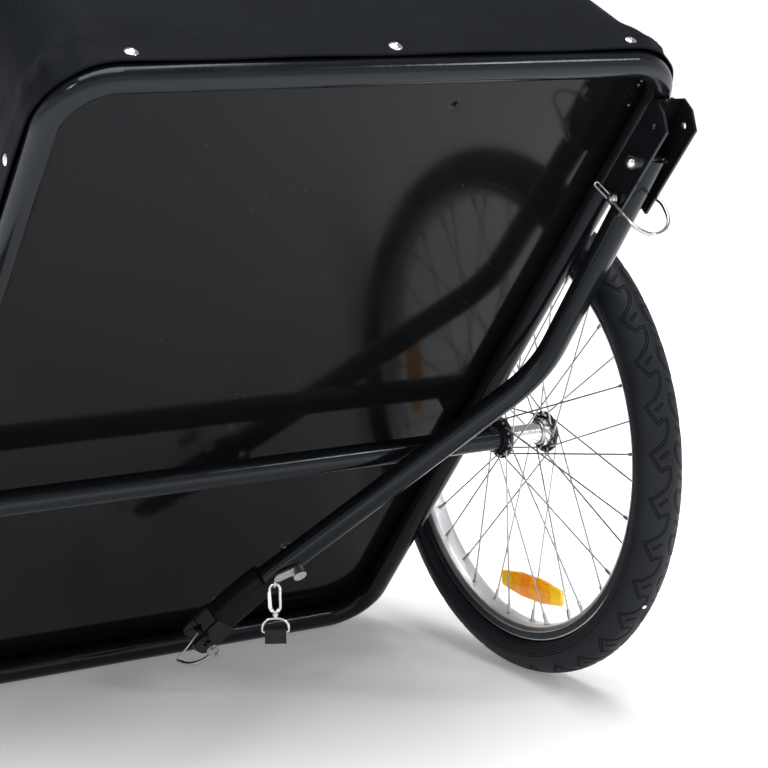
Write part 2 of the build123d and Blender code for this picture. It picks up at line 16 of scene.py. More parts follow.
import bmesh
import bpy
import numpy as np
from mathutils import Matrix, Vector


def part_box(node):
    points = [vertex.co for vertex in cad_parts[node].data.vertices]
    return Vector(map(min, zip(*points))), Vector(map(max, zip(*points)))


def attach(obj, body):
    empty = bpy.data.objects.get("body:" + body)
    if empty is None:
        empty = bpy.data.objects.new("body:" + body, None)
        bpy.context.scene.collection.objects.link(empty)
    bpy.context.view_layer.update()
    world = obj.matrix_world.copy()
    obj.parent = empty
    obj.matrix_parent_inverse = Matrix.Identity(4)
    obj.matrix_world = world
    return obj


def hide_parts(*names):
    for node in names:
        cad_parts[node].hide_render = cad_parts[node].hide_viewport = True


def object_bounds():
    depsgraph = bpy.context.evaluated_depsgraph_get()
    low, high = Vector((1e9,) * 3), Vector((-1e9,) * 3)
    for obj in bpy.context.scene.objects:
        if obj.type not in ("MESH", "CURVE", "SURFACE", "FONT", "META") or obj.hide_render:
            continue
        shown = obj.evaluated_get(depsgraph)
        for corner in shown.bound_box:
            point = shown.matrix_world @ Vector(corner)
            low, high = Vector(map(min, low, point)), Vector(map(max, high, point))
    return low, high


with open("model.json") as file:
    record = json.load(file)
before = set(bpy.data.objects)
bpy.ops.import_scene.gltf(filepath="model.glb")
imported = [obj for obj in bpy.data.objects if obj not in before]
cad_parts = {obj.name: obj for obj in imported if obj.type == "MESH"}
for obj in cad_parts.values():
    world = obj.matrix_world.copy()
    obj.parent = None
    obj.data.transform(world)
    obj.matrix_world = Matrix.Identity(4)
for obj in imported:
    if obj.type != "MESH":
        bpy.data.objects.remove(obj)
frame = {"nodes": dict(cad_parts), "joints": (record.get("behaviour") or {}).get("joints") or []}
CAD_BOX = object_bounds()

Array = np.ndarray
Triple = tuple[float, float, float]
Pairs = tuple[tuple[float, float], ...]
Points = Sequence[Sequence[float]]
Socket = bpy.types.NodeSocket
Material = bpy.types.Material
Piece = bpy.types.Object
MM = 0.001
LEFT, UP = np.eye(3)[1:]
LOG = logging.getLogger("trailer")


# ------------------------------------------------------------------ surfaces
@dataclass
class Shape:
    """Polygons kept as flat arrays.

    points holds the vertices, corners the vertex of each face corner, sizes the
    number of corners of each face, and uv one pair for each corner.
    """

    points: Array
    corners: Array
    sizes: Array
    uv: Array

    @classmethod
    def grid(
        cls, points: Array, uv: Array | None = None, wrap_rows: bool = False, wrap_columns: bool = False
    ) -> Shape:
        """Quads over rows and columns of points.

        A wrapped direction joins its last line of points to its first one.

        Args:
            points: Array of rows x columns x 3.
            uv: One pair for each line crossing, with one line more in a
                wrapped direction.
            wrap_rows: Whether the last row meets the first.
            wrap_columns: Whether the last column meets the first.

        Returns:
            The surface.
        """
        rows, columns = points.shape[:2]
        down = rows if wrap_rows else rows - 1
        across = columns if wrap_columns else columns - 1
        row, column = np.meshgrid(np.arange(down), np.arange(across), indexing="ij")
        if uv is None:
            lines = np.meshgrid(np.arange(down + 1), np.arange(across + 1), indexing="ij")
            uv = np.stack(lines, -1) * MM
        steps = ((0, 0), (0, 1), (1, 1), (1, 0))
        corner = [(row + r) % rows * columns + (column + c) % columns for r, c in steps]
        place = [uv[row + r, column + c] for r, c in steps]
        return cls(
            points.reshape(-1, 3),
            np.stack(corner, -1).ravel(),
            np.full(down * across, len(steps)),
            np.stack(place, -2).reshape(-1, 2),
        )

    @classmethod
    def join(cls, shapes: Iterable[Shape]) -> Shape:
        """All the shapes as one, their points kept apart."""
        kept = list(shapes)
        starts = np.cumsum([0] + [len(shape.points) for shape in kept[:-1]])
        return cls(
            np.concatenate([shape.points for shape in kept]),
            np.concatenate([shape.corners + start for shape, start in zip(kept, starts)]),
            np.concatenate([shape.sizes for shape in kept]),
            np.concatenate([shape.uv for shape in kept]),
        )

    def moved(self, place: Callable[[Array], Array]) -> Shape:
        """The same polygons with their points put through place."""
        return Shape(place(self.points), self.corners, self.sizes, self.uv)


def unit(vectors: Array) -> Array:
    """Vectors divided by their lengths."""
    return vectors / np.linalg.norm(vectors, axis=-1, keepdims=True)


def radial(turn: float | Array) -> Array:
    """The way out from the axle, (cos a, 0, sin a), at an angle in a wheel's plane."""
    return np.stack([np.cos(turn), np.zeros_like(turn), np.sin(turn)], -1)


def run_along(path: Array) -> Array:
    """How far along a path each of its points is."""
    return np.concatenate([[0.0], np.cumsum(np.linalg.norm(np.diff(path, axis=0), axis=1))])


def round_turns(steps: int) -> Array:
    """Angles evenly round a full turn."""
    return np.linspace(0, math.tau, steps, endpoint=False)


def circles(side: Array, rise: Array, steps: int) -> Array:
    """Round each place, the unit vectors cos a . side + sin a . rise, as one axis more."""
    angle = round_turns(steps)[:, None]
    return np.cos(angle) * side[..., None, :] + np.sin(angle) * rise[..., None, :]


def dashes(start: Array, end: Array, facing: Array, thick: float = 0.36 * MM) -> Shape:
    """Short stitches: a five-sided ring at four places from each start to its end.

    Args:
        start: One point for each stitch.
        end: Its other point.
        facing: The way out of the cloth.
        thick: The thread's radius.

    Returns:
        All the stitches.
    """
    share = np.array([0.0, 0.15, 0.85, 1.0])[None, :, None]
    middle = start[:, None] + (end - start)[:, None] * share
    ring = circles(unit(np.cross(end - start, facing)), facing, 5)[:, None]
    reach = (thick * np.array([0.3, 1.0, 1.0, 0.3]))[None, :, None, None]
    return ring_solids(middle[:, :, None] + reach * ring)


def ease(value: Array, start: float = 0.0, width: float = 1.0) -> Array:
    """A soft step, 3t^2 - 2t^3, with t going from 0 to 1 over a width from start on."""
    held = np.clip((value - start) / width, 0.0, 1.0)
    return held * held * (3.0 - 2.0 * held)


def bell(value: Array, middle: float, width: float) -> Array:
    """exp(-t^2), with t the distance from the middle in widths."""
    return np.exp(-(((value - middle) / width) ** 2))


def smooth_line(knots: Points, steps: int = 8) -> Array:
    """Catmull-Rom curve through the knots.

    Between two knots b and c with neighbours a and d, the point at share t is
    half of 2b + (c-a)t + (2a-5b+4c-d)t^2 + (3b-a-3c+d)t^3.

    Args:
        knots: Points that the curve passes through.
        steps: Points for each stretch between two knots.

    Returns:
        The curve's points.
    """
    line = np.asarray(knots, float)
    full = np.concatenate([2 * line[:1] - line[1:2], line, 2 * line[-1:] - line[-2:-1]])[:, None, :]
    a, b, c, d = full[:-3], full[1:-2], full[2:-1], full[3:]
    t = np.linspace(0, 1, steps, endpoint=False)[None, :, None]
    curve = 2 * b + (c - a) * t + (2 * a - 5 * b + 4 * c - d) * t**2 + (3 * b - a - 3 * c + d) * t**3
    return np.concatenate([(curve / 2).reshape(-1, line.shape[1]), line[-1:]])


def tube(
    path: Array,
    radius: float | Array,
    sides: int,
    closed: bool = False,
    reference: Triple = (0.031, 0.117, 0.993),
) -> Shape:
    """A circle carried along a path, square to it.

    Each ring is path + radius (cos a . side + sin a . rise), with side at right
    angles to the path and the reference, and rise at right angles to both.

    Args:
        path: Points of the middle line.
        radius: One radius, or one for each point.
        sides: Points round a ring.
        closed: Whether the path is a loop.
        reference: A direction that the path never follows.

    Returns:
        The tube, with flat ends unless it is a loop.
    """
    step = np.roll(path, -1, axis=0) - np.roll(path, 1, axis=0) if closed else np.gradient(path, axis=0)
    tangent = unit(step)
    side = unit(np.cross(tangent, np.asarray(reference, float)))
    reach = np.broadcast_to(np.asarray(radius, float), (len(path),))[:, None, None]
    points = path[:, None] + reach * circles(side, np.cross(side, tangent), sides)
    run = run_along(np.concatenate([path, path[:1]]) if closed else path)
    round_way = np.linspace(0, math.tau, sides + 1) * float(np.mean(reach))
    uv = np.stack(np.meshgrid(run, round_way, indexing="ij"), -1)
    return Shape.grid(points, uv, wrap_rows=True, wrap_columns=True) if closed else ring_solids(points, uv)


def turned(profile: Array, steps: int, closed: bool = False) -> Shape:
    """A profile of (along, radius) pairs turned round the Y axis.

    Args:
        profile: Pairs of the place along the axis and the distance from it.
        steps: Points in a full turn.
        closed: Whether the profile is a loop, as for a ring.

    Returns:
        The surface (r cos a, y, r sin a).
    """
    angle = round_turns(steps)[None, :]
    along, radius = profile[:, :1], profile[:, 1:]
    points = np.stack(np.broadcast_arrays(radius * np.cos(angle), along, radius * np.sin(angle)), -1)
    run = run_along(np.concatenate([profile, profile[:1]]) if closed else profile)
    sweep = np.linspace(0, math.tau, steps + 1)
    uv = np.stack(np.broadcast_arrays(sweep[None] * profile[:, 1].mean(), run[:, None]), -1)
    return Shape.grid(points, uv, wrap_rows=closed, wrap_columns=True)


def ring_solids(rings: Array, uv: Array | None = None) -> Shape:
    """Closed solids, each a stack of rings with a flat first and last end.

    Args:
        rings: Array of (solids x) rows x sides x 3.
        uv: One pair for each line crossing of one solid's wall.

    Returns:
        All the solids as one shape.
    """
    rows, sides = rings.shape[-3:-1]
    stacks = rings.reshape(-1, rows, sides, 3)
    wall = Shape.grid(stacks[0], uv, wrap_columns=True)
    around = np.arange(sides)
    corners = np.concatenate([wall.corners, around[::-1], (rows - 1) * sides + around])
    sizes = np.concatenate([wall.sizes, [sides, sides]])
    flat = np.concatenate([wall.uv, np.zeros((2 * sides, 2))])
    starts = np.arange(len(stacks))[:, None] * rows * sides
    return Shape(
        stacks.reshape(-1, 3),
        (corners + starts).ravel(),
        np.tile(sizes, len(stacks)),
        np.tile(flat, (len(stacks), 1)),
    )


def rounded(points: Points, radius: float, steps: int = 4) -> Array:
    """A closed outline with each corner cut to a soft curve.

    Each corner p becomes the quadratic curve (1-t)^2 a + 2t(1-t) p + t^2 b, with
    a and b on the two sides, the radius or 0.45 of the side away from p.

    Args:
        points: The outline's corners.
        radius: How far from a corner its curve starts.
        steps: Points for each corner.

    Returns:
        The outline's points.
    """
    corner = np.asarray(points, float)
    before, after = np.roll(corner, 1, axis=0) - corner, np.roll(corner, -1, axis=0) - corner
    cut = []
    for way in (before, after):
        length = np.linalg.norm(way, axis=1, keepdims=True)
        cut.append(corner + way / length * np.minimum(radius, 0.45 * length))
    t = np.linspace(0, 1, steps)[None, :, None]
    a, p, b = cut[0][:, None], corner[:, None], cut[1][:, None]
    return ((1 - t) ** 2 * a + 2 * t * (1 - t) * p + t**2 * b).reshape(-1, corner.shape[1])


def round_solid(profile: Points, steps: int, origin: Array, axis: Sequence[float]) -> Shape:
    """A turned profile, its ends closed, stood at origin along axis.

    Args:
        profile: Pairs (height along the axis, radius), in millimetres.
        steps: Points in a full turn.
        origin: Where height 0 is.
        axis: The direction of growing height.

    Returns:
        The closed surface.
    """
    solid = ring_solids(turned(MM * np.asarray(profile, float), steps).points.reshape(-1, steps, 3))
    up = unit(np.asarray(axis, float))
    helper = np.array([1.0, 0.0, 0.0]) if abs(up[0]) < 0.9 else UP
    side = unit(np.cross(helper, up))
    basis = np.stack([side, up, np.cross(side, up)])
    return solid.moved(lambda points: points @ basis + origin)


def plate(outline: Array, thickness: float, origin: Array, x_way: Array, y_way: Array) -> Shape:
    """A flat outline given a thickness.

    Args:
        outline: Points in the plate's own plane.
        thickness: Measured along the cross product of the two ways.
        origin: Where the outline's (0, 0) is, at the middle of the thickness.
        x_way: Direction of the outline's first number.
        y_way: Direction of the outline's second number.

    Returns:
        The closed plate.
    """
    x_way, y_way = unit(np.asarray(x_way, float)), unit(np.asarray(y_way, float))
    normal = np.cross(x_way, y_way)
    flat = origin + outline[:, :1] * x_way + outline[:, 1:] * y_way
    return ring_solids(np.stack([flat - normal * thickness / 2, flat + normal * thickness / 2]))


# ------------------------------------------------------------------ finishes
class Space(Enum):
    """What a pattern's coordinates come from."""

    OBJECT = "Object"
    SURFACE = "UV"


class Graph:
    """The node tree of one material, with short calls for what the finishes need."""

    def __init__(self, name: str) -> None:
        """Starts the named material with its shader and output."""
        self.material = bpy.data.materials.new(name)
        self.material.use_nodes = True
        self.tree = self.material.node_tree
        self.shader = next(n for n in self.tree.nodes if n.type == "BSDF_PRINCIPLED")

    def node(self, kind: str, inputs: dict | None = None, **settings: object) -> bpy.types.Node:
        """Adds a node.

        Args:
            kind: The node's type name, without its leading ShaderNode.
            inputs: Values or sockets by input name or number.
            **settings: The node's own options.

        Returns:
            The node.
        """
        made = self.tree.nodes.new("ShaderNode" + kind)
        for key, value in settings.items():
            setattr(made, key, value)
        for key, value in (inputs or {}).items():
            self.feed(made.inputs[key], value)
        return made

    def feed(self, socket: Socket, value: object) -> None:
        """Joins a socket to another, or sets its value, a linear colour getting full alpha."""
        if isinstance(value, Socket):
            self.tree.links.new(value, socket)
        else:
            socket.default_value = (*value, 1.0) if socket.type == "RGBA" else value

    def shade(self, **values: object) -> None:
        """Sets the shader's inputs, their names with _ for a space."""
        for key, value in values.items():
            self.feed(self.shader.inputs[key.replace("_", " ")], value)

    def coordinates(self, space: Space) -> Socket:
        """Coordinates of a space."""
        return self.node("TexCoord").outputs[space.value]

    def part(self, vector: Socket, axis: int) -> Socket:
        """One of a vector's three numbers."""
        return self.node("SeparateXYZ", {0: vector}).outputs[axis]

    def vector(self, what: str, a: object, b: object = (0.0, 0.0, 0.0), number: bool = False) -> Socket:
        """One step on vectors, which gives a vector or a number."""
        return self.node("VectorMath", {0: a, 1: b}, operation=what).outputs[int(number)]

    def noise(self, where: Socket, scale: float, detail: float, roughness: float = 0.5) -> Socket:
        """Soft noise from 0 to 1."""
        values = {"Vector": where, "Scale": scale, "Detail": detail, "Roughness": roughness}
        return self.node("TexNoise", values).outputs["Fac"]

    def math(self, what: str, a: object, b: object = 0.0, clamp: bool = False) -> Socket:
        """One sum, product or other step on numbers."""
        return self.node("Math", {0: a, 1: b}, operation=what, use_clamp=clamp).outputs[0]

    def ramp(self, value: Socket, low: float, high: float, start: float = 0.0, end: float = 1.0) -> Socket:
        """Carries low..high of the value to start..end, and holds it there."""
        return self.node("MapRange", {0: value, 1: low, 2: high, 3: start, 4: end}).outputs[0]

    def vary(self, cloud: Socket, middle: float, below: float, above: float) -> Socket:
        """A roughness that follows soft noise, from below under the middle to above over it."""
        return self.ramp(cloud, 0.3, 0.7, middle - below, middle + above)

    def distance(self, place: Socket, start: tuple, end: tuple) -> Socket:
        """The distance from a place to the straight stretch between two flat points."""
        a, way = np.array((*start, 0.0)), np.array((*np.subtract(end, start), 0.0))
        gap = self.vector("SUBTRACT", place, tuple(a))
        along = self.vector("DOT_PRODUCT", gap, tuple(way / (way @ way)), number=True)
        share = self.math("ADD", along, 0.0, clamp=True)
        foot = self.node("VectorMath", {0: tuple(way), "Scale": share}, operation="SCALE").outputs[0]
        return self.vector("DISTANCE", gap, foot, number=True)

    def mix(self, share: object, first: object, second: object) -> Socket:
        """Two colours mixed by a share."""
        made = self.node("Mix", data_type="RGBA")
        for index, value in ((0, share), (6, first), (7, second)):
            self.feed(made.inputs[index], value)
        return made.outputs[2]

    def bump(
        self, height: Socket, distance: float, strength: float = 1.0, under: Socket | None = None
    ) -> Socket:
        """A normal tipped by a height, over another normal if one is given."""
        values = {"Height": height, "Distance": distance, "Strength": strength}
        if under is not None:
            values["Normal"] = under
        return self.node("Bump", values).outputs[0]


def scaled(tint: Triple, factor: float) -> Triple:
    """A colour times a factor."""
    return tuple(factor * part for part in tint)


class Coating:
    """What all finishes share: a named material shaded by the finish's own paint method."""

    name: str

    def material(self) -> Material:
        """Builds the material."""
        graph = Graph(self.name)
        self.paint(graph, graph.coordinates(Space.OBJECT))
        return graph.material

    def paint(self, graph: Graph, where: Socket) -> None:
        """Sets the shader's inputs, where being places in the trailer's own space."""
        raise NotImplementedError


@dataclass(frozen=True)
class GlossPaint(Coating):
    """Black powder coat: a glossy skin with fine orange peel."""

    name: str = "gloss_black_paint"
    tint: Triple = (0.0048, 0.0053, 0.0064)
    glint: Triple = (0.8, 0.9, 1.0)
    roughness: float = 0.15
    peel: float = 0.00006

    def paint(self, graph: Graph, where: Socket) -> None:
        """Sets the shader's inputs."""
        cloud = graph.noise(where, 22.0, 4.0)
        dust = graph.ramp(graph.noise(where, 900.0, 1.0), 0.74, 0.8)
        base = graph.mix(graph.math("MULTIPLY", dust, 0.06), self.tint, (0.5, 0.5, 0.5))
        graph.shade(
            Base_Color=base,
            Roughness=graph.vary(cloud, self.roughness, 0.05, 0.08),
            IOR=1.32,
            Specular_Tint=self.glint,
            Coat_Weight=0.06,
            Coat_Roughness=0.08,
            Normal=graph.bump(graph.noise(where, 420.0, 2.0), self.peel),
        )


@dataclass(frozen=True)
class GlossPanel(Coating):
    """High-gloss black sheet: nearly a mirror, slightly wavy, with a dent and fine specks."""

    dent: Triple
    dent_reach: float = 0.009
    dent_depth: float = 0.0007
    tint: Triple = (0.0042, 0.0044, 0.005)
    glint: Triple = (0.78, 0.89, 1.0)
    name: str = "gloss_black_panel"
    roughness: float = 0.07
    wave: float = 0.0011

    def paint(self, graph: Graph, where: Socket) -> None:
        """Sets the shader's inputs."""
        wave = graph.bump(graph.noise(where, 3.2, 1.0, 0.3), self.wave)
        bowl = graph.ramp(graph.vector("DISTANCE", where, self.dent, number=True), 0.0, self.dent_reach)
        bowl = graph.math("SMOOTH_MIN", bowl, 1.0)
        speck = graph.ramp(graph.noise(where, 340.0, 0.0), 0.86, 0.89)
        smear = graph.noise(where, 9.0, 5.0)
        graph.shade(
            Base_Color=graph.mix(graph.math("MULTIPLY", speck, 0.12), self.tint, (0.4, 0.4, 0.4)),
            Roughness=graph.ramp(smear, 0.35, 0.75, self.roughness, self.roughness + 0.06),
            IOR=1.25,
            Specular_Tint=self.glint,
            Normal=graph.bump(bowl, self.dent_depth, 1.0, wave),
        )


@dataclass(frozen=True)
class BareMetal(Coating):
    """Plated, polished or brushed metal."""

    name: str
    tint: Triple
    roughness: float
    spread: float = 0.06
    grain: float = 0.00003
    grain_scale: Triple = (300.0, 300.0, 300.0)

    def paint(self, graph: Graph, where: Socket) -> None:
        """Sets the shader's inputs."""
        grain = graph.noise(graph.vector("MULTIPLY", where, self.grain_scale), 1.0, 2.0)
        tarnish = graph.noise(where, 60.0, 3.0)
        graph.shade(
            Base_Color=graph.mix(graph.ramp(tarnish, 0.35, 0.8), self.tint, scaled(self.tint, 0.72)),
            Metallic=1.0,
            Roughness=graph.vary(tarnish, self.roughness, self.spread, self.spread),
            Normal=graph.bump(grain, self.grain),
        )


@dataclass(frozen=True)
class TwoToneMetal(Coating):
    """Bright alloy with dark glossy parts, which the kind's own dark method picks."""

    name: str = "two_tone_alloy"
    roughness: float = 0.16
    metal_loss: float = 0.7
    tint: Triple = (0.86, 0.87, 0.89)
    dark_tint: Triple = (0.03, 0.032, 0.036)

    def dark(self, graph: Graph, where: Socket) -> Socket:
        """The share of the dark tint at a place."""
        raise NotImplementedError

    def paint(self, graph: Graph, where: Socket) -> None:
        """Sets the shader's inputs."""
        dark = self.dark(graph, where)
        tarnish = graph.noise(where, 60.0, 3.0)
        graph.shade(
            Base_Color=graph.mix(dark, self.tint, self.dark_tint),
            Metallic=graph.math("SUBTRACT", 1.0, graph.math("MULTIPLY", dark, self.metal_loss)),
            Roughness=graph.vary(tarnish, self.roughness, 0.04, 0.05),
            Normal=graph.bump(graph.noise(where, 500.0, 2.0), 0.00003),
        )


@dataclass(frozen=True)
class RimAlloy(TwoToneMetal):
    """Dark between two distances from the wheel's axle."""

    name: str = "rim_alloy"
    roughness: float = 0.4
    metal_loss: float = 1.0
    dark_tint: Triple = (0.018, 0.02, 0.024)
    axle: tuple[float, float] = (0.0, 0.0)
    band: tuple[float, float] = (0.0, 0.0)
    soft: float = 0.4 * MM

    def dark(self, graph: Graph, where: Socket) -> Socket:
        """The share of the dark tint at a place."""
        from_axle = graph.vector("SUBTRACT", where, (self.axle[0], 0.0, self.axle[1]))
        reach = graph.vector("LENGTH", graph.vector("MULTIPLY", from_axle, (1.0, 0.0, 1.0)), number=True)
        low, high = self.band
        inside = graph.ramp(reach, low, low + self.soft)
        return graph.math("MULTIPLY", inside, graph.ramp(reach, high - self.soft, high, 1.0, 0.0))


@dataclass(frozen=True)
class HubAlloy(TwoToneMetal):
    """Dark further than dark_from from the wheel's middle plane."""

    name: str = "hub_alloy"
    middle: float = 0.0
    dark_from: float = 0.0
    soft: float = 0.2 * MM

    def dark(self, graph: Graph, where: Socket) -> Socket:
        """The share of the dark tint at a place."""
        aside = graph.math("ABSOLUTE", graph.part(where, 1))
        off = graph.math("ABSOLUTE", graph.math("SUBTRACT", aside, self.middle))
        return graph.ramp(off, self.dark_from, self.dark_from + self.soft)


@dataclass(frozen=True)
class WovenCloth(Coating):
    """Coated woven polyester: a plain weave on the cloth's own coordinates."""

    name: str
    tint: Triple
    thread: float = 0.0011
    relief: float = 0.00012
    roughness: float = 0.62
    shine: float = 0.04

    def paint(self, graph: Graph, where: Socket) -> None:
        """Sets the shader's inputs."""
        cloth = graph.coordinates(Space.SURFACE)
        turns = math.pi / self.thread
        threads = [graph.math("MULTIPLY", graph.part(cloth, axis), turns) for axis in (0, 1)]
        warp, weft = (graph.math("SINE", thread) for thread in threads)
        weave = graph.math("MULTIPLY", graph.math("MULTIPLY", warp, weft), 0.5)
        fold = graph.noise(where, 26.0, 4.0, 0.6)
        fine = graph.bump(weave, self.relief)
        wear = graph.noise(where, 7.0, 5.0)
        graph.shade(
            Base_Color=graph.mix(graph.ramp(wear, 0.4, 0.8, 0.0, 0.6), self.tint, scaled(self.tint, 1.75)),
            Roughness=graph.vary(fold, self.roughness, 0.08, 0.08),
            Specular_IOR_Level=self.shine,
            Normal=graph.bump(fold, 0.0012, 0.5, fine),
        )


@dataclass(frozen=True)
class TreadPattern:
    """The tyre's tread: on each side a chain of claws cut as a double line, with short slots.

    Places are (along, across): along as shares of a pitch, across in metres from the crown.
    """

    pitch: float = math.tau * 0.254 / 34
    phase: float = 0.45
    line_gap: float = 1.15 * MM
    line_half: float = 0.5 * MM
    sink: float = 0.5 * MM
    claw: Pairs = (
        (0.0, 0.0231), (0.19, 0.0178), (0.38, 0.0119), (0.32, 0.0092), (0.30, 0.0036), (0.45, 0.0028),
        (0.60, 0.0040), (0.76, 0.0083), (0.90, 0.0154), (1.0, 0.0231),
    )
    slot: Pairs = ((-0.01, 0.0062), (0.09, 0.0124))

    def strokes(self) -> list[Array]:
        """The lines of one side in metres, those near the ends of the pitch given on both laps."""
        scale = np.array((self.pitch, 1.0))
        claw, slot = np.array(self.claw) * scale, np.array(self.slot) * scale
        lap = np.array((self.pitch, 0.0))
        return [claw, slot, slot + lap, claw[:2] + lap, claw[-2:] - lap]

    def depth(self, along: Array, across: Array) -> Array:
        """How deep the tread is cut, from 0 to 1: a soft step of the distance to the nearest stroke.

        Args:
            along: Places round the tyre, in metres.
            across: Places from the crown, in metres.

        Returns:
            Shares of the groove's depth.
        """
        lapped = np.mod(along + (np.where(across < 0, 0.5, 0.0) + self.phase) * self.pitch, self.pitch)
        nearest = np.full(along.shape, 1.0)
        for stroke in self.strokes():
            start, way = stroke[:-1], np.diff(stroke, axis=0)
            gap_x = lapped[..., None] - start[:, 0]
            gap_y = np.abs(across)[..., None] - start[:, 1]
            share = np.clip((gap_x * way[:, 0] + gap_y * way[:, 1]) / (way**2).sum(1), 0, 1)
            off = np.hypot(gap_x - share * way[:, 0], gap_y - share * way[:, 1])
            nearest = np.minimum(nearest, off.min(-1))
        reach = self.line_gap + self.line_half
        return 1.0 - ease(nearest, 0.5 * reach, reach)


@dataclass(frozen=True)
class TyreRubber(Coating):
    """Black rubber with the tread's double lines cut into it, on the tyre's own coordinates; the grooves are
    darkened with painted shade and their reflection is turned down.
    """

    pattern: TreadPattern = TreadPattern()
    name: str = "tyre_rubber"
    tint: Triple = (0.0062, 0.0078, 0.0112)
    # painted shade: the colour given to the bottoms of the grooves
    painted_groove_shade: Triple = (0.0016, 0.0018, 0.0022)
    roughness: float = 0.5
    groove_depth: float = 0.0013
    rib_from: float = 0.0335
    rib_pitch: float = 0.0026
    rib_height: float = 0.0004

    def paint(self, graph: Graph, where: Socket) -> None:
        """Sets the shader's inputs."""
        cut = self.lines(graph)
        bloom = graph.noise(where, 26.0, 5.0)
        base = graph.mix(graph.ramp(bloom, 0.4, 0.8, 0.0, 0.8), self.tint, scaled(self.tint, 1.9))
        grain = graph.bump(graph.noise(where, 700.0, 2.0), 0.00006)
        grain = graph.bump(self.ribs(graph), self.rib_height, 1.0, grain)
        graph.shade(
            # painted shade: the grooves take the dark colour and, below, a lower specular level, as if shade
            # fell in them
            Base_Color=graph.mix(cut, base, self.painted_groove_shade),
            Roughness=graph.vary(bloom, self.roughness, 0.08, 0.1),
            Specular_IOR_Level=graph.ramp(cut, 0.0, 1.0, 0.17, 0.0),
            Normal=graph.bump(graph.math("SUBTRACT", 1.0, cut), self.groove_depth, 1.0, grain),
        )

    def ribs(self, graph: Graph) -> Socket:
        """The height of the fine ribs that run round the side walls, from 0 to 1."""
        across = graph.math("ABSOLUTE", graph.part(graph.coordinates(Space.SURFACE), 1))
        wave = graph.math("SINE", graph.math("MULTIPLY", across, math.tau / self.rib_pitch))
        return graph.math("MULTIPLY", wave, graph.ramp(across, self.rib_from, self.rib_from + MM))

    def lines(self, graph: Graph) -> Socket:
        """The share of a groove at a point: 1 within line_half of either of a stroke's two lines.

        The first coordinate runs round the tyre and is lapped to one pitch, half
        a pitch later where the second, the distance from the crown, is negative.

        Args:
            graph: The material's graph.

        Returns:
            The share, from 0 to 1.
        """
        pattern = self.pattern
        run, aside = (graph.part(graph.coordinates(Space.SURFACE), axis) for axis in (0, 1))
        far_side = graph.math("LESS_THAN", aside, 0.0)
        turns = graph.math("MULTIPLY", run, 1.0 / pattern.pitch)
        turns = graph.math("ADD", turns, graph.math("MULTIPLY", far_side, 0.5))
        turns = graph.math("ADD", turns, pattern.phase)
        along = graph.math("MULTIPLY", graph.math("FRACT", turns), pattern.pitch)
        across = graph.math("ABSOLUTE", aside)
        place = graph.node("CombineXYZ", {0: along, 1: across}).outputs[0]
        nearest = None
        for stroke in pattern.strokes():
            for start, end in zip(stroke[:-1], stroke[1:]):
                off = graph.distance(place, tuple(start), tuple(end))
                nearest = off if nearest is None else graph.math("MINIMUM", nearest, off)
        from_line = graph.math("ABSOLUTE", graph.math("SUBTRACT", nearest, pattern.line_gap))
        return graph.ramp(from_line, 0.35 * pattern.line_half, pattern.line_half, 1.0, 0.0)


@dataclass(frozen=True)
class Webbing(Coating):
    """Nylon webbing: ribs across the strap on its own coordinates."""

    name: str = "black_webbing"
    tint: Triple = (0.0055, 0.006, 0.0075)
    rib: float = 0.0016

    def paint(self, graph: Graph, where: Socket) -> None:
        """Sets the shader's inputs."""
        along = graph.part(graph.coordinates(Space.SURFACE), 0)
        rib = graph.math("SINE", graph.math("MULTIPLY", along, math.tau / self.rib))
        fuzz = graph.noise(where, 500.0, 2.0)
        graph.shade(
            Base_Color=graph.mix(fuzz, self.tint, scaled(self.tint, 1.6)),
            Roughness=graph.ramp(fuzz, 0.3, 0.7, 0.6, 0.8),
            Normal=graph.bump(rib, 0.0003),
        )


@dataclass(frozen=True)
class MouldedPlastic(Coating):
    """Plain moulded plastic or hard rubber with a fine grain."""

    name: str
    tint: Triple
    roughness: float = 0.42
    grain: float = 0.00006
    shine: float = 0.5

    def paint(self, graph: Graph, where: Socket) -> None:
        """Sets the shader's inputs."""
        cloud = graph.noise(where, 40.0, 4.0)
        pale = tuple(min(1.0, part) for part in scaled(self.tint, 1.6))
        graph.shade(
            Base_Color=graph.mix(graph.ramp(cloud, 0.4, 0.8, 0.0, 0.5), self.tint, pale),
            Roughness=graph.vary(cloud, self.roughness, 0.08, 0.08),
            Specular_IOR_Level=self.shine,
            Normal=graph.bump(graph.noise(where, 600.0, 2.0), self.grain),
        )


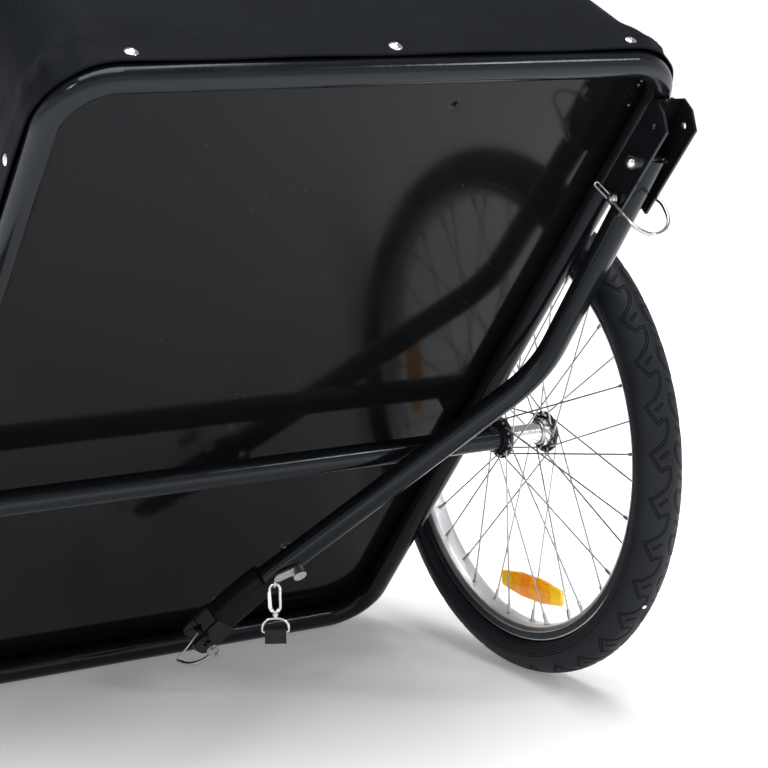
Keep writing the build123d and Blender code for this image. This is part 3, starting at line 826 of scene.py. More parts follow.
@dataclass(frozen=True)
class AmberPrisms(Coating):
    """Clear amber plastic in three zones over small cube-corner prisms, on the lens's own coordinates, with a
    painted glint on each prism and a faint painted glow.
    """

    half: float = 55 * MM
    name: str = "amber_reflector"
    prism: float = 0.0034
    tint: Triple = (0.95, 0.27, 0.004)
    bright_tint: Triple = (0.98, 0.58, 0.01)
    deep_tint: Triple = (0.85, 0.15, 0.003)

    def paint(self, graph: Graph, where: Socket) -> None:
        """Sets the shader's inputs."""
        lens = graph.coordinates(Space.SURFACE)
        cells = graph.node("TexVoronoi", {"Vector": lens, "Scale": 1.0 / self.prism, "Randomness": 0.1})
        # painted glint: each prism cell gets a random brightness that stands in for its sparkle of light
        painted_prism_glint = graph.node("SeparateColor", {0: cells.outputs["Color"]}).outputs[0]
        share = graph.math("DIVIDE", graph.part(lens, 0), self.half)
        ends = graph.ramp(graph.math("ABSOLUTE", share), 0.62, 0.72, 0.0, 0.75)
        zone = graph.ramp(graph.math("ABSOLUTE", graph.math("ADD", share, 0.18)), 0.12, 0.16, 0.45, 0.0)
        # the bright zone at the ends plus the painted glints on the prisms
        glow = graph.math("ADD", ends, graph.math("MULTIPLY", painted_prism_glint, 0.55))
        glow = graph.math("ADD", glow, 0.0, clamp=True)
        warm = graph.mix(glow, self.tint, self.bright_tint)
        warm = graph.mix(zone, warm, self.deep_tint)
        graph.shade(
            Base_Color=warm,
            Roughness=graph.ramp(painted_prism_glint, 0.3, 0.7, 0.12, 0.22),
            IOR=1.5,
            Coat_Weight=1.0,
            Coat_Roughness=0.05,
            # painted glow: the lens gives off a little light of its own colour, though it is no lamp
            Emission_Color=warm,
            Emission_Strength=0.3,
            Normal=graph.bump(cells.outputs["Distance"], 0.0004),
        )


@dataclass(frozen=True)
class StagePaint(Coating):
    """The studio's pale floor, lit a little from below as a light table is, with a painted shadow where its
    glow is turned down near the trailer.
    """

    name: str = "studio_floor"
    glow: float = 0.66
    # painted shadow: the low glow left on the floor right under the trailer
    painted_shadow_glow: float = 0.16
    near: float = 0.4
    far: float = 1.05

    def paint(self, graph: Graph, where: Socket) -> None:
        """Sets the shader's inputs."""
        cloud = graph.noise(where, 1.5, 2.0)
        reach = graph.vector("LENGTH", where, number=True)
        graph.shade(
            Base_Color=graph.mix(cloud, (0.93, 0.93, 0.93), (0.95, 0.95, 0.95)),
            Roughness=0.9,
            Emission_Color=(1.0, 1.0, 1.0),
            # painted shadow: the glow falls from its full value far out to a low one near the trailer
            Emission_Strength=graph.ramp(reach, self.near, self.far, self.painted_shadow_glow, self.glow),
        )


class Finish(Enum):
    """The finishes by name; each material is built once."""

    PAINT = GlossPaint()
    SATIN = BareMetal("satin_alloy", (0.78, 0.79, 0.81), 0.3, 0.06, 0.00004, (900.0, 60.0, 900.0))
    STEEL_WIRE = BareMetal("spoke_wire", (0.62, 0.62, 0.62), 0.34)
    ZINC = BareMetal("zinc_plate", (0.86, 0.87, 0.86), 0.24, 0.07)
    SPRING = BareMetal("spring_wire", (0.6, 0.6, 0.6), 0.2)
    NICKEL = BareMetal("nickel_plate", (0.86, 0.85, 0.82), 0.2, 0.1)
    STUD = BareMetal("stud_nickel", (0.9, 0.89, 0.87), 0.2, 0.06)
    SCREW = BareMetal("dark_screw", (0.2, 0.2, 0.21), 0.35)
    WALL_CLOTH = WovenCloth("wall_cloth", (0.0046, 0.0056, 0.008))
    COVER_CLOTH = WovenCloth("cover_cloth", (0.0043, 0.0053, 0.0076))
    THREAD = MouldedPlastic("black_thread", (0.0065, 0.0075, 0.0098), 0.6, shine=0.1)
    WEBBING = Webbing()
    TYRE = TyreRubber()
    COUPLER = MouldedPlastic("coupler_rubber", (0.0032, 0.0036, 0.0045), 0.5, 0.0001, 0.14)
    NYLON = MouldedPlastic("black_nylon", (0.004, 0.004, 0.005), 0.36, shine=0.25)
    DOT = MouldedPlastic("white_marking_paint", (0.8, 0.8, 0.78), 0.5)
    AMBER = AmberPrisms()
    STAGE = StagePaint()


_MADE: dict[str, Material] = {}


def material_of(finish: Finish | Coating) -> Material:
    """The material of a finish or a member of Finish, built at its first use."""
    finish = finish.value if isinstance(finish, Finish) else finish
    if finish.name not in _MADE:
        _MADE[finish.name] = finish.material()
    return _MADE[finish.name]


# ---------------------------------------------------------------- making pieces
def linked(name: str, data: bpy.types.ID) -> bpy.types.Object:
    """Puts a mesh, lamp or camera into the scene."""
    made = bpy.data.objects.new(name, data)
    bpy.context.scene.collection.objects.link(made)
    return made


def box_of(node: str) -> Array:
    """The lowest and the highest corner of a CAD node's box."""
    return np.array(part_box(node))


def make_piece(
    name: str,
    shape: Shape,
    finish: Finish | Coating,
    body: str | None,
    slot: str | None = None,
    replaces: Sequence[str] = (),
    crease: float = 40.0,
    outward: bool = True,
    weld: bool = True,
) -> Piece:
    """Puts a shape into the scene.

    Args:
        name: The piece's name.
        shape: Its polygons, in place, in metres.
        finish: A member of Finish, or a finish.
        body: The CAD body that it rides on, or None for the stage.
        slot: The record's material slot; not used.
        replaces: CAD nodes that it stands for.
        crease: Edges sharper than this many degrees stay sharp.
        outward: Whether the faces are turned to point out of the shape.
        weld: Whether points at one place, as at a pole, become one.

    Returns:
        The object.
    """
    mesh = bpy.data.meshes.new(name)
    mesh.vertices.add(len(shape.points))
    mesh.vertices.foreach_set("co", shape.points.astype(np.float32).ravel())
    mesh.loops.add(len(shape.corners))
    mesh.loops.foreach_set("vertex_index", shape.corners.astype(np.int32))
    mesh.polygons.add(len(shape.sizes))
    starts = np.concatenate([[0], np.cumsum(shape.sizes)[:-1]]).astype(np.int32)
    mesh.polygons.foreach_set("loop_start", starts)
    mesh.update(calc_edges=True)
    layer = mesh.uv_layers.new(name="cloth")
    layer.data.foreach_set("uv", shape.uv.astype(np.float32).ravel())
    if outward:
        work = bmesh.new()
        work.from_mesh(mesh)
        if weld:
            bmesh.ops.remove_doubles(work, verts=work.verts, dist=1e-6)
        bmesh.ops.recalc_face_normals(work, faces=work.faces)
        work.to_mesh(mesh)
        work.free()
    mesh.polygons.foreach_set("use_smooth", np.ones(len(mesh.polygons), bool))
    mesh.set_sharp_from_angle(angle=math.radians(crease))
    mesh.materials.append(material_of(finish))
    piece = linked(name, mesh)
    if body is None:
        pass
    else:
        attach(piece, body)
    if replaces:
        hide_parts(*replaces)
    LOG.info("%s: %d faces", name, len(mesh.polygons))
    return piece


def make_level(
    name: str, shapes: Sequence[Shape], finish: Finish | Coating, body: str, slot: str, **options: object
) -> None:
    """Makes one piece of shapes worked out level, set down with the trailer."""
    make_piece(name, Shape.join(shapes).moved(REST.place), finish, body, slot, **options)


def dress(nodes: Iterable[str], finish: Finish | Coating) -> None:
    """Gives CAD nodes a finish in place of their plain one."""
    for name in nodes:
        node = frame["nodes"][name]
        node.data.materials.clear()
        node.data.materials.append(material_of(finish))
        LOG.info("%s: finished", name)


@dataclass(frozen=True)
class Rest:
    """How the level trailer is tipped back and set down.

    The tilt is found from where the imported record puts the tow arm's pivot
    against the axle, and from where the pivot is on the level trailer.
    """

    axle: Triple
    pivot: Triple
    level_pivot: tuple[float, float] = (0.420, -0.008)

    @classmethod
    def from_frame(cls) -> Rest:
        """Reads the two joints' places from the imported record."""
        places = {joint["name"]: joint["pos_m"] for joint in frame["joints"]}
        return cls(tuple(places["wheel_left_spin"]), tuple(places["tow_arm_swing"]))

    @property
    def axle_place(self) -> tuple[float, float]:
        """Where the axle is along the floor and above it."""
        return self.axle[0], self.axle[2]

    @property
    def tilt(self) -> float:
        """The angle by which the front is raised, in radians."""
        seen = math.atan2(self.pivot[2] - self.axle[2], self.pivot[0] - self.axle[0])
        return seen - math.atan2(self.level_pivot[1], self.level_pivot[0])

    def place(self, points: Array) -> Array:
        """Level points set down: turned about the axle, then moved to it."""
        cos, sin = math.cos(self.tilt), math.sin(self.tilt)
        x, y, z = points[..., 0], points[..., 1], points[..., 2]
        return np.stack([x * cos - z * sin + self.axle[0], y, x * sin + z * cos + self.axle[2]], -1)


REST = Rest.from_frame()


# ---------------------------------------------------------------------- wheels
@dataclass
class Wheel:
    """One spoked wheel: tyre, rim, spokes, hub and reflector, on its own body."""

    side: int
    radius: float = 254 * MM
    tyre_half: float = 24 * MM
    tread_angle: float = 100.0
    tread_columns: int = 49
    side_wall: Pairs = (
        (22.3 * MM, 222.4 * MM),
        (18.6 * MM, 219.9 * MM),
        (14.6 * MM, 218.8 * MM),
        (12.2 * MM, 218.2 * MM),
        (12.2 * MM, 211.3 * MM),
    )
    pitches: int = 34
    pitch_steps: int = 32
    rim_half: float = 14.3 * MM
    rim_wall: float = 1.9 * MM
    rim_inner: float = 201.5 * MM
    rim_shoulder: float = 206 * MM
    rim_seat: float = 211 * MM
    rim_lip: float = 217.5 * MM
    bed_half: float = 6 * MM
    spoke_count: int = 36
    spoke_radius: float = 0.98 * MM
    spoke_head: float = 1.9 * MM
    elbow: float = 2.0 * MM
    spoke_phase: float = math.radians(5.5)
    hole_radius: float = 19 * MM
    cross_holes: int = 6
    flange_at: float = 28.5 * MM
    flange_half: float = 1.5 * MM
    head_offset: float = 3.3 * MM
    rim_offset: float = 3.0 * MM
    tip_radius: float = 200.9 * MM
    nipple_radius: float = 2.0 * MM
    nipple_length: float = 11 * MM
    dot_turn: float = -81.5
    dot_angle: float = -3.0

    def __post_init__(self) -> None:
        """Works out the names and the middle plane that go with the side."""
        self.label = "left" if self.side > 0 else "right"
        self.body = f"wheel_{self.label}"
        self.joint = next(j for j in frame["joints"] if j["child"] == self.body)
        self.middle = float(self.joint["pos_m"][1])

    def place(self, points: Array) -> Array:
        """Points about the wheel's own centre set down with the trailer."""
        return REST.place(points + self.middle * LEFT)

    def piece(
        self,
        name: str,
        shape: Shape,
        finish: Finish | Coating,
        slot: str,
        node: str = "",
        crease: float = 40.0,
    ) -> None:
        """Makes a piece that rides on this wheel, and stands for one of its nodes if that is named."""
        nodes = [f"{node}_{self.label}"] if node else []
        placed = shape.moved(self.place)
        make_piece(f"{name}_{self.label}", placed, finish, self.body, slot, replaces=nodes, crease=crease)

    def build(self) -> None:
        """Makes all of the wheel's pieces."""
        self.build_tyre()
        self.build_rim()
        self.build_spokes()
        self.build_hub()
        Reflector(self).build()

    def build_tyre(self) -> None:
        """The tyre: its section turned about the axle, with the tread pressed in.

        Over the tread a point is c + q cos t out from the axle and q sin t
        across, where c is the section's centre, q its radius less the groove
        there and t the angle from the crown.  The side walls run on from the
        tread's two edges and in under the rim's lips.
        """
        pattern = TreadPattern()
        angle = np.radians(self.tread_angle) * np.linspace(-1, 1, self.tread_columns)
        turn = round_turns(self.pitches * self.pitch_steps)
        along, across = -turn * self.radius, angle * self.tyre_half
        cut = pattern.depth(*np.meshgrid(along, across, indexing="ij"))
        reach = self.tyre_half - 0.3 * MM - pattern.sink * cut
        out = self.radius - self.tyre_half + reach * np.cos(angle)
        wide = reach * np.sin(angle)
        edge = np.array([[wide[0, -1], out[0, -1]]])
        wall = smooth_line(np.concatenate([edge, np.array(self.side_wall)]), 2)[1:]
        walls = np.broadcast_to(wall, (len(turn), *wall.shape))
        out = np.concatenate([walls[:, ::-1, 1], out, walls[..., 1]], 1)
        wide = np.concatenate([-walls[:, ::-1, 0], wide, walls[..., 0]], 1)
        points = np.stack([out * np.cos(turn)[:, None], wide, out * np.sin(turn)[:, None]], -1)
        run = across[-1] + np.cumsum(np.linalg.norm(np.diff(wall, axis=0, prepend=edge), axis=1))
        columns = np.concatenate([-run[::-1], across, run, run[-1:]])
        lap = np.linspace(0, -math.tau * self.radius, len(turn) + 1)
        uv = np.stack(np.meshgrid(lap, columns, indexing="ij"), -1)
        shape = Shape.grid(points, uv, wrap_rows=True, wrap_columns=True)
        self.piece("tyre_dressed", shape, Finish.TYRE, "tyre", "tyre")
        self.build_dot()

    def build_dot(self) -> None:
        """The white balance mark: a thin domed disc on the tyre's shoulder."""
        turn, tip = math.radians(self.dot_turn), math.radians(self.dot_angle)
        outward = radial(turn)
        lean = outward * math.cos(tip) + self.side * math.sin(tip) * LEFT
        spot = outward * (self.radius - self.tyre_half) + lean * (self.tyre_half - 0.5 * MM)
        dome = ((0, 2.4), (0.35, 2.3), (0.5, 1.2), (0.52, 0.1))
        self.piece("tyre_dot", round_solid(dome, 20, spot, lean), Finish.DOT, "tyre")

    def build_rim(self) -> None:
        """The rim: its section with soft corners, turned, with an eyelet at each spoke."""
        half, bed = self.rim_half, self.bed_half
        inner = half - self.rim_wall
        flank = half - 0.3 * MM
        shelf = half - 2.8 * MM
        right = (
            (bed, self.rim_inner),
            (shelf, self.rim_shoulder - 2.2 * MM),
            (flank, self.rim_shoulder + 1.5 * MM),
            (half, self.rim_lip),
            (inner, self.rim_lip),
            (inner, self.rim_seat),
        )
        left = tuple((-aside, out) for aside, out in reversed(right))
        band = (self.rim_shoulder + 2.8 * MM, self.rim_lip - 1.3 * MM)
        ring = turned(rounded(right + left, 1.1 * MM, 4), 288, closed=True)
        self.piece("rim_dressed", ring, RimAlloy(axle=REST.axle_place, band=band), "rim", "rim", 60)
        section = MM * np.array(((0, 2.3), (0, 3.6), (0.8, 3.2), (0.8, 2.3)))
        eyelet = turned(rounded(section, 0.3 * MM, 3), 14, closed=True)
        eyelets = []
        for turn, side in zip(*self.spoke_ends()):
            outward = radial(turn)
            spot = outward * (self.rim_inner + 0.1 * MM) + side * self.rim_offset * LEFT
            across = np.cross(outward, LEFT)
            basis = np.stack([across, -outward, np.cross(across, -outward)])
            eyelets.append(eyelet.moved(lambda points, b=basis, s=spot: points @ b + s))
        self.piece("rim_eyelets", Shape.join(eyelets), Finish.SATIN, "rim")

    def spoke_ends(self) -> tuple[Array, Array]:
        """The angle of each spoke at the rim, and the side of its flange, 1 or -1."""
        index = np.arange(self.spoke_count)
        return index * math.tau / self.spoke_count + self.spoke_phase, np.where(index % 2 == 0, 1.0, -1.0)

    def build_spokes(self) -> None:
        """The spokes: rings carried from the head, through the flange and its elbow, to the rim.

        Every ring of every spoke is middle + radius (cos a . side + sin a . rise),
        worked out for all the spokes in one array.
        """
        rim_turn, flange_side = self.spoke_ends()
        index = np.arange(self.spoke_count)
        lean = np.where(index // 2 % 2 == 0, 1.0, -1.0) * np.where(flange_side * self.side > 0, -1.0, 1.0)
        hub_turn = rim_turn + lean * self.cross_holes * math.tau / self.spoke_count
        flange = flange_side * self.flange_at
        elbow_y = flange + flange_side * lean * self.head_offset
        head_y = flange - flange_side * lean * (self.flange_half + 0.9 * MM)
        hole = radial(hub_turn) * self.hole_radius
        tip = radial(rim_turn) * self.tip_radius + (flange_side * self.rim_offset)[:, None] * LEFT
        elbow = hole + elbow_y[:, None] * LEFT
        head = hole + head_y[:, None] * LEFT
        along = unit(tip - elbow)
        through = unit(elbow - head)
        span = np.linalg.norm(tip - elbow, axis=1)[:, None]
        r, wide, bend, grip = self.spoke_radius, self.spoke_head, self.elbow, self.nipple_length
        knots = [
            (head - through * 0.9 * MM, 0.9 * MM),
            (head - through * 0.5 * MM, 1.7 * MM),
            (head, wide),
            (head + through * 0.5 * MM, 1.2 * MM),
            (head + through * 0.6 * MM, r),
            (elbow - through * bend, r),
            (elbow - through * 0.5 * bend + along * 0.12 * bend, r),
            (elbow - through * 0.12 * bend + along * 0.5 * bend, r),
            (elbow + along * bend, r),
            (elbow + along * (span - grip - 0.4 * MM), r),
            (elbow + along * (span - grip), 1.5 * MM),
            (elbow + along * (span - grip + 0.8 * MM), wide),
            (elbow + along * (span - 3 * MM), wide),
            (elbow + along * (span - 2 * MM), self.nipple_radius),
            (elbow + along * (span + 0.8 * MM), self.nipple_radius),
        ]
        middle = np.stack([knot for knot, _ in knots], 1)
        radius = np.array([size for _, size in knots])[None, :, None, None]
        tangent = unit(np.gradient(middle, axis=1))
        side = unit(np.cross(along, LEFT))[:, None]
        rise = np.cross(np.broadcast_to(side, tangent.shape), tangent)
        spokes = ring_solids(middle[:, :, None] + radius * circles(side, rise, 8))
        self.piece("spokes_dressed", spokes, Finish.STEEL_WIRE, "spoke", "spokes", 50)

    def build_hub(self) -> None:
        """Finishes the hub's solid, bright with dark flanges, and adds a bright collar inside each flange."""
        collar = MM * np.array(
            ((17, 11.2), (18, 12.6), (21, 13.0), (22, 15.2), (25.5, 15.8), (26.6, 15.2), (26.6, 11.2))
        )
        rings = [turned(rounded(collar * (side, 1), 0.5 * MM, 3), 64, closed=True) for side in (1, -1)]
        self.piece("hub_collars", Shape.join(rings), Finish.SATIN, "hub")
        dress([f"hub_{self.label}"], HubAlloy(middle=abs(self.middle), dark_from=self.flange_at - 1.9 * MM))


@dataclass
class Reflector:
    """The amber reflector clipped between the spokes."""

    wheel: Wheel
    distance: float = 165 * MM
    shift: float = 1.4 * MM
    angle: float = -133.0
    lean: float = 5.1
    length: float = 110 * MM
    width: float = 26 * MM
    depth: float = 5 * MM

    def build(self) -> None:
        """The lens, its flanks bowed and its front slightly crowned, and the clip bar behind it."""
        turn = math.radians(self.angle)
        up = self.wheel.side * LEFT
        centre = radial(turn) * self.distance + up * self.shift
        outward = radial(turn - math.radians(self.lean))
        across = np.cross(outward, LEFT)
        half, wide = self.length / 2, self.width / 2
        upper = np.array(((1, 0.62), (0.35, 1), (-0.35, 1), (-1, 0.62))) * (half, wide)
        edge = rounded(np.concatenate([-upper, upper]), 3.5 * MM, 6)
        rims, flat = [], []
        for inset, level in ((1.6, -0.5), (0.3, -0.42), (0.0, -0.2), (0.0, 0.25), (0.5, 0.42), (1.8, 0.5)):
            line = edge * (1 - inset * MM / half, 1 - inset * MM / wide)
            rims.append(centre + line[:, :1] * across + line[:, 1:] * outward + up * level * self.depth)
            flat.append(line)
        lens = ring_solids(np.stack(rims))
        lens.uv = np.concatenate(flat)[lens.corners]
        self.wheel.piece("reflector_lens", lens, Finish.AMBER, "reflector", "reflector", 25)
        bar = np.array(((44, 3), (30, 3), (26, 6), (-26, 6), (-30, 3), (-44, 3)))
        spot = centre + up * (self.depth / 2 + 2.2 * MM)
        clip = plate(rounded(np.concatenate([-bar, bar]), 1.0) * MM, 5 * MM, spot, across, outward)
        self.wheel.piece("reflector_clips", clip, Finish.NYLON, "reflector")


# --------------------------------------------------------------------- fabric
def outline(
    turn: Array, ahead: Array, behind: Array, wide: Array, bend: float, height: Array
) -> tuple[Array, Array]:
    """Points of a rounded rectangle, walked round by length.

    Turn 0 is the middle of the front, and 1 is once round to the left, rear,
    right and front again.  The walk has nine legs: half the front, then a
    corner and a side in turn, and the other half of the front.

    Args:
        turn: Shares of the way round.
        ahead: How far the front is from the axle.
        behind: How far the rear is from the axle, as a positive length.
        wide: Half the width.
        bend: The corners' radius.
        height: Heights above the axle.

    Returns:
        The points, and the level directions that face out.
    """
    turn, ahead, behind, wide, bend, height = np.broadcast_arrays(turn, ahead, behind, wide, bend, height)
    flat_y, flat_x = wide - bend, (ahead + behind) / 2 - bend
    quarter = bend * math.pi / 2
    half_lap = [quarter, 2 * flat_x, quarter]
    runs = np.stack([flat_y, *half_lap, 2 * flat_y, *half_lap, flat_y], -1)
    ends = np.cumsum(runs, -1)
    walk = np.mod(turn, 1.0) * ends[..., -1]
    leg = np.minimum((walk[..., None] >= ends).sum(-1), 8)
    picked = leg[..., None]
    past = walk - np.take_along_axis(ends - runs, picked, -1)[..., 0]
    length = np.take_along_axis(runs, picked, -1)[..., 0]
    swing = np.where(leg % 2 == 1, past / length, 0.0) + (leg + np.where(leg % 2 == 1, -1, 0)) / 2
    facing = swing * math.pi / 2
    from_x = np.choose(leg, [flat_x] * 2 + [flat_x - past] + [-flat_x] * 3 + [past - flat_x] + [flat_x] * 2)
    from_y = np.choose(leg, [past] + [flat_y] * 3 + [flat_y - past] + [-flat_y] * 3 + [past - flat_y])
    way = np.stack([np.cos(facing), np.sin(facing), np.zeros_like(facing)], -1)
    centre = np.stack([(ahead - behind) / 2 + from_x, from_y, height], -1)
    return centre + bend[..., None] * way, way


@dataclass
class LoadBox:
    """The fabric load box: one skin round the frame, and a cover snapped down over it."""

    front: float = 524.8 * MM
    rear: float = 359.8 * MM
    half: float = 309.8 * MM
    corner: float = 62.8 * MM
    cloth: float = 1.4 * MM
    stand_off: float = 1.5 * MM
    bottom: float = 28 * MM
    top: float = 360 * MM
    nose_in: float = 70 * MM
    side_in: float = 36 * MM
    hem_top: float = 52 * MM
    hem_depth: float = 1.1 * MM
    columns: int = 600
    fold: Pairs = ((-0.245, 0.049), (-0.023, 0.085))
    fold_depth: float = 10.0 * MM
    fold_below: float = 24 * MM
    fold_above: float = 50 * MM
    sag_depth: float = 5.0 * MM
    sag_reach: float = 110 * MM
    slack_size: float = 1.3 * MM
    ripple_size: float = 0.5 * MM
    edge_wave: float = 0.7 * MM
    hem_fade: float = 30 * MM
    swell_size: float = 6.0 * MM
    pucker_size: float = 2.6 * MM
    flap_bottom: float = 318 * MM
    flap_off: float = 4.6 * MM
    flap_relief: float = 0.8 * MM
    binding: float = 9 * MM
    crown: float = 5 * MM
    cover_inset: float = 70 * MM
    cover_rise: float = 34 * MM
    stud_radius: float = 6.2
    stud_height: float = 40 * MM
    stitch_pitch: float = 4.6 * MM

    def share(self, height: Array) -> Array:
        """A height as a share of the way from the hem to the top."""
        return (height - self.bottom) / (self.top - self.bottom)

    def reach(self, height: Array) -> tuple[Array, Array, Array]:
        """How far the walls are ahead of, behind and to the side of the axle's middle at a height."""
        share = self.share(height)
        side_in = self.side_in * share
        return self.front - self.nose_in * share, self.rear - side_in, self.half - side_in

    def ring(self, turn: Array, height: Array, off: Array | float = 0.0) -> tuple[Array, Array]:
        """Points of the walls' outline at a height, off metres outside it, and the ways that face out."""
        ahead, behind, wide = (length + off for length in self.reach(height))
        return outline(turn, ahead, behind, wide, self.corner + off, height)

    def perimeter(self, height: float) -> float:
        """Length of the outline at a height."""
        ahead, behind, wide = self.reach(height)
        return 2 * (ahead + behind) + 4 * wide - (8 - math.tau) * self.corner

    def build(self) -> None:
        """Makes the skin, the cover, their stitching and the press studs."""
        self.build_skin()
        self.build_cover()
        self.build_stitches()
        self.build_studs()

    def relief(self, points: Array, facing: Array) -> Array:
        """How far the cloth stands off its straight run: hem, slack, a long fold and puckers.

        The slack is a sum of sines that fades out at the hem and the top.  The
        fold is a valley that falls away as exp(-d/w), with w short below it and
        long above.  The puckers swell and dip along each corner of the hem.

        Args:
            points: The straight cloth's points.
            facing: The level directions that face out.

        Returns:
            Distances outwards.
        """
        x, y, height = points[..., 0], points[..., 1], points[..., 2]
        middle = np.sin(np.pi * np.clip(self.share(height), 0, 1)) ** 0.8
        wide_waves = np.sin(23 * x + 9 * y + 31 * height) + np.sin(17 * y - 21 * x + 12 * height + 1.3)
        slack = self.slack_size * wide_waves
        ripple = self.ripple_size * np.sin(61 * y + 47 * x + 25 * height + 2.0 * np.sin(31 * height))
        hem = self.hem_depth * (1 - ease(height, self.hem_top, 2 * MM))
        edge = self.edge_wave * np.sin(38 * y + 33 * x) * (1 - ease(height, self.hem_top, self.hem_fade))
        folds = self.long_fold(points, facing) + self.puckers(height, facing)
        return middle * (slack + ripple) + hem + edge + folds

    def long_fold(self, points: Array, facing: Array) -> Array:
        """The fold across the front wall, with the cloth above it fallen slack, clear of the rail.

        The fold is deepest along the first half of its line, and grows out of
        the plain wall over its first 50 mm.  The cloth sags in a bell above it.

        Args:
            points: The straight cloth's points.
            facing: The level directions that face out.

        Returns:
            Distances outwards: minus clear (fade . depth . exp(-d/w) + sag).
        """
        start, end = (np.array(place) for place in self.fold)
        way = (end - start) / np.linalg.norm(end - start)
        flat = points[..., 1:] - start
        along = flat @ way
        above = flat @ np.array([-way[1], way[0]])
        fade = ease(along, 0.0, 0.05) * (1 - 0.75 * ease(along, 0.20, 0.25))
        crest = fade * np.clip(facing[..., 0], 0, 1) ** 4
        valley = np.where(above < 0, np.exp(above / self.fold_below), np.exp(-above / self.fold_above))
        sag = ease(above, 0.0, 0.02) * bell(above, 0.0, self.sag_reach) * (1 - ease(along, 0.05, 0.3))
        slack = ease(along, -0.2, 0.12) * np.clip(facing[..., 0] + 0.2, 0, 1)
        clear = ease(points[..., 2], self.hem_top, self.hem_fade)
        return -clear * (crest * self.fold_depth * valley + self.sag_depth * sag * slack)

    def puckers(self, height: Array, facing: Array) -> Array:
        """Leaf-like creases where the hem is gathered round a corner: a swell and a cosine under bells."""
        bow = np.arctan2(np.abs(facing[..., 1]), np.abs(facing[..., 0]))
        corner = np.sin(2 * bow) ** 2
        swell = self.swell_size * bell(height, 59 * MM, 16 * MM) * corner
        leaf = self.pucker_size * np.cos(12 * bow + 40 * height) * corner * bell(height, 62 * MM, 24 * MM)
        return swell + leaf

    def surface(self, turn: Array, height: Array, off: float = 0.0) -> tuple[Array, Array]:
        """Points on the finished walls, and the ways that face out."""
        base, facing = self.ring(turn, height, self.stand_off)
        return base + facing * (self.relief(base, facing) + off)[..., None], facing

    def make_sheet(
        self, name: str, points: Array, uv: Array, finish: Finish, slot: str, nodes: Sequence[str]
    ) -> tuple[Piece, float]:
        """Makes a continuous cloth with a thickness.

        Args:
            name: The piece's name.
            points: Rows x columns x 3, its columns closed round the box.
            uv: The cloth's own coordinates, with one column more.
            finish: Its finish.
            slot: Its material slot.
            nodes: The CAD nodes that it stands for.

        Returns:
            The piece and the cloth's area.
        """
        shape = Shape.grid(points, uv, wrap_columns=True).moved(REST.place)
        piece = make_piece(name, shape, finish, "chassis", slot, replaces=nodes, crease=180)
        thick = piece.modifiers.new("cloth thickness", "SOLIDIFY")
        thick.thickness = self.cloth
        thick.offset = 0.0
        quad = shape.points[shape.corners.reshape(-1, 4)]
        cross = np.cross(quad[:, 2] - quad[:, 0], quad[:, 3] - quad[:, 1])
        return piece, float(np.linalg.norm(cross, axis=1).sum() / 2)

    def build_skin(self) -> None:
        """The skin: the outline at each height, moved in or out by the relief."""
        ends = (self.bottom, 48 * MM, 56 * MM, 120 * MM, self.top)
        bands = zip(ends, ends[1:], (8, 9, 26, 29))
        height = np.concatenate([np.linspace(*band, endpoint=False) for band in bands] + [[self.top]])
        turn = np.linspace(0, 1, self.columns, endpoint=False)
        points, _ = self.surface(turn[None, :], height[:, None])
        length = self.perimeter(self.bottom)
        uv = np.stack(np.meshgrid(height, np.linspace(0, length, self.columns + 1), indexing="ij"), -1)
        walls = ["wall_front", "wall_rear", "wall_left", "wall_right"]
        skin, area = self.make_sheet("wall_skin", points, uv, Finish.WALL_CLOTH, "side_fabric", walls)

    def build_cover(self) -> None:
        """The cover: flap, rolled edge, slope and a crowned top that closes at a point.

        The flap follows the walls' outline.  The slope draws the outline in by
        the inset and keeps the corners' radius, and the top then shrinks it
        evenly to nothing while it rises by the crown times (1 - k^2) at scale k.
        """
        turn = np.linspace(0, 1, 400, endpoint=False)[None, :]
        flap_height = np.linspace(self.flap_bottom, self.top - 2 * MM, 9)[:, None]
        bind = self.flap_relief * (1 - ease(flap_height - self.flap_bottom, self.binding, 2 * MM))
        free = 1 - (flap_height - self.flap_bottom) / (45 * MM)
        wave = self.flap_relief * np.sin(24 * math.pi * turn + 1.0) * free
        flap, _ = self.ring(turn, flap_height, self.flap_off + bind + wave)
        share = np.array([0.0, 0.02, 0.06, 0.12, 0.2, 0.35, 0.5, 0.65, 0.8, 0.9, 0.96, 1.0])[:, None]
        inset = self.cover_inset * share - self.flap_off * (1 - ease(share, 0.0, 0.1))
        ahead, behind, wide = self.reach(self.top)
        rise = self.top + 2 * MM + (self.cover_rise - 2 * MM) * (share + 0.06 * np.sin(math.pi * share))
        ripple = 0.9 * MM * np.sin(32 * math.pi * turn + 9 * share) * np.sin(math.pi * share)
        slope, _ = outline(turn, ahead - inset, behind - inset, wide - inset, self.corner, rise + ripple)
        scale = np.linspace(0.97, 0.0, 18)[:, None]
        middle = np.array([(ahead - behind) / 2, 0.0, self.top + self.cover_rise])
        crown = middle + (slope[-1] - middle) * scale[..., None] * (1, 1, 0)
        waves = np.sin(31 * crown[..., 0] + 24 * crown[..., 1])
        crown[..., 2] += self.crown * (1 - scale**2) + self.flap_relief * waves
        points = np.concatenate([flap, slope, crown])
        run = np.linalg.norm(np.diff(points, axis=0), axis=-1).mean(1)
        down = np.concatenate([[0], np.cumsum(run)])
        lap = np.linspace(0, self.perimeter(self.top), turn.size + 1)
        uv = np.stack(np.meshgrid(down, lap, indexing="ij"), -1)
        cover, area = self.make_sheet(
            "cover_sheet", points, uv, Finish.COVER_CLOTH, "cover_fabric", ["cover"]
        )

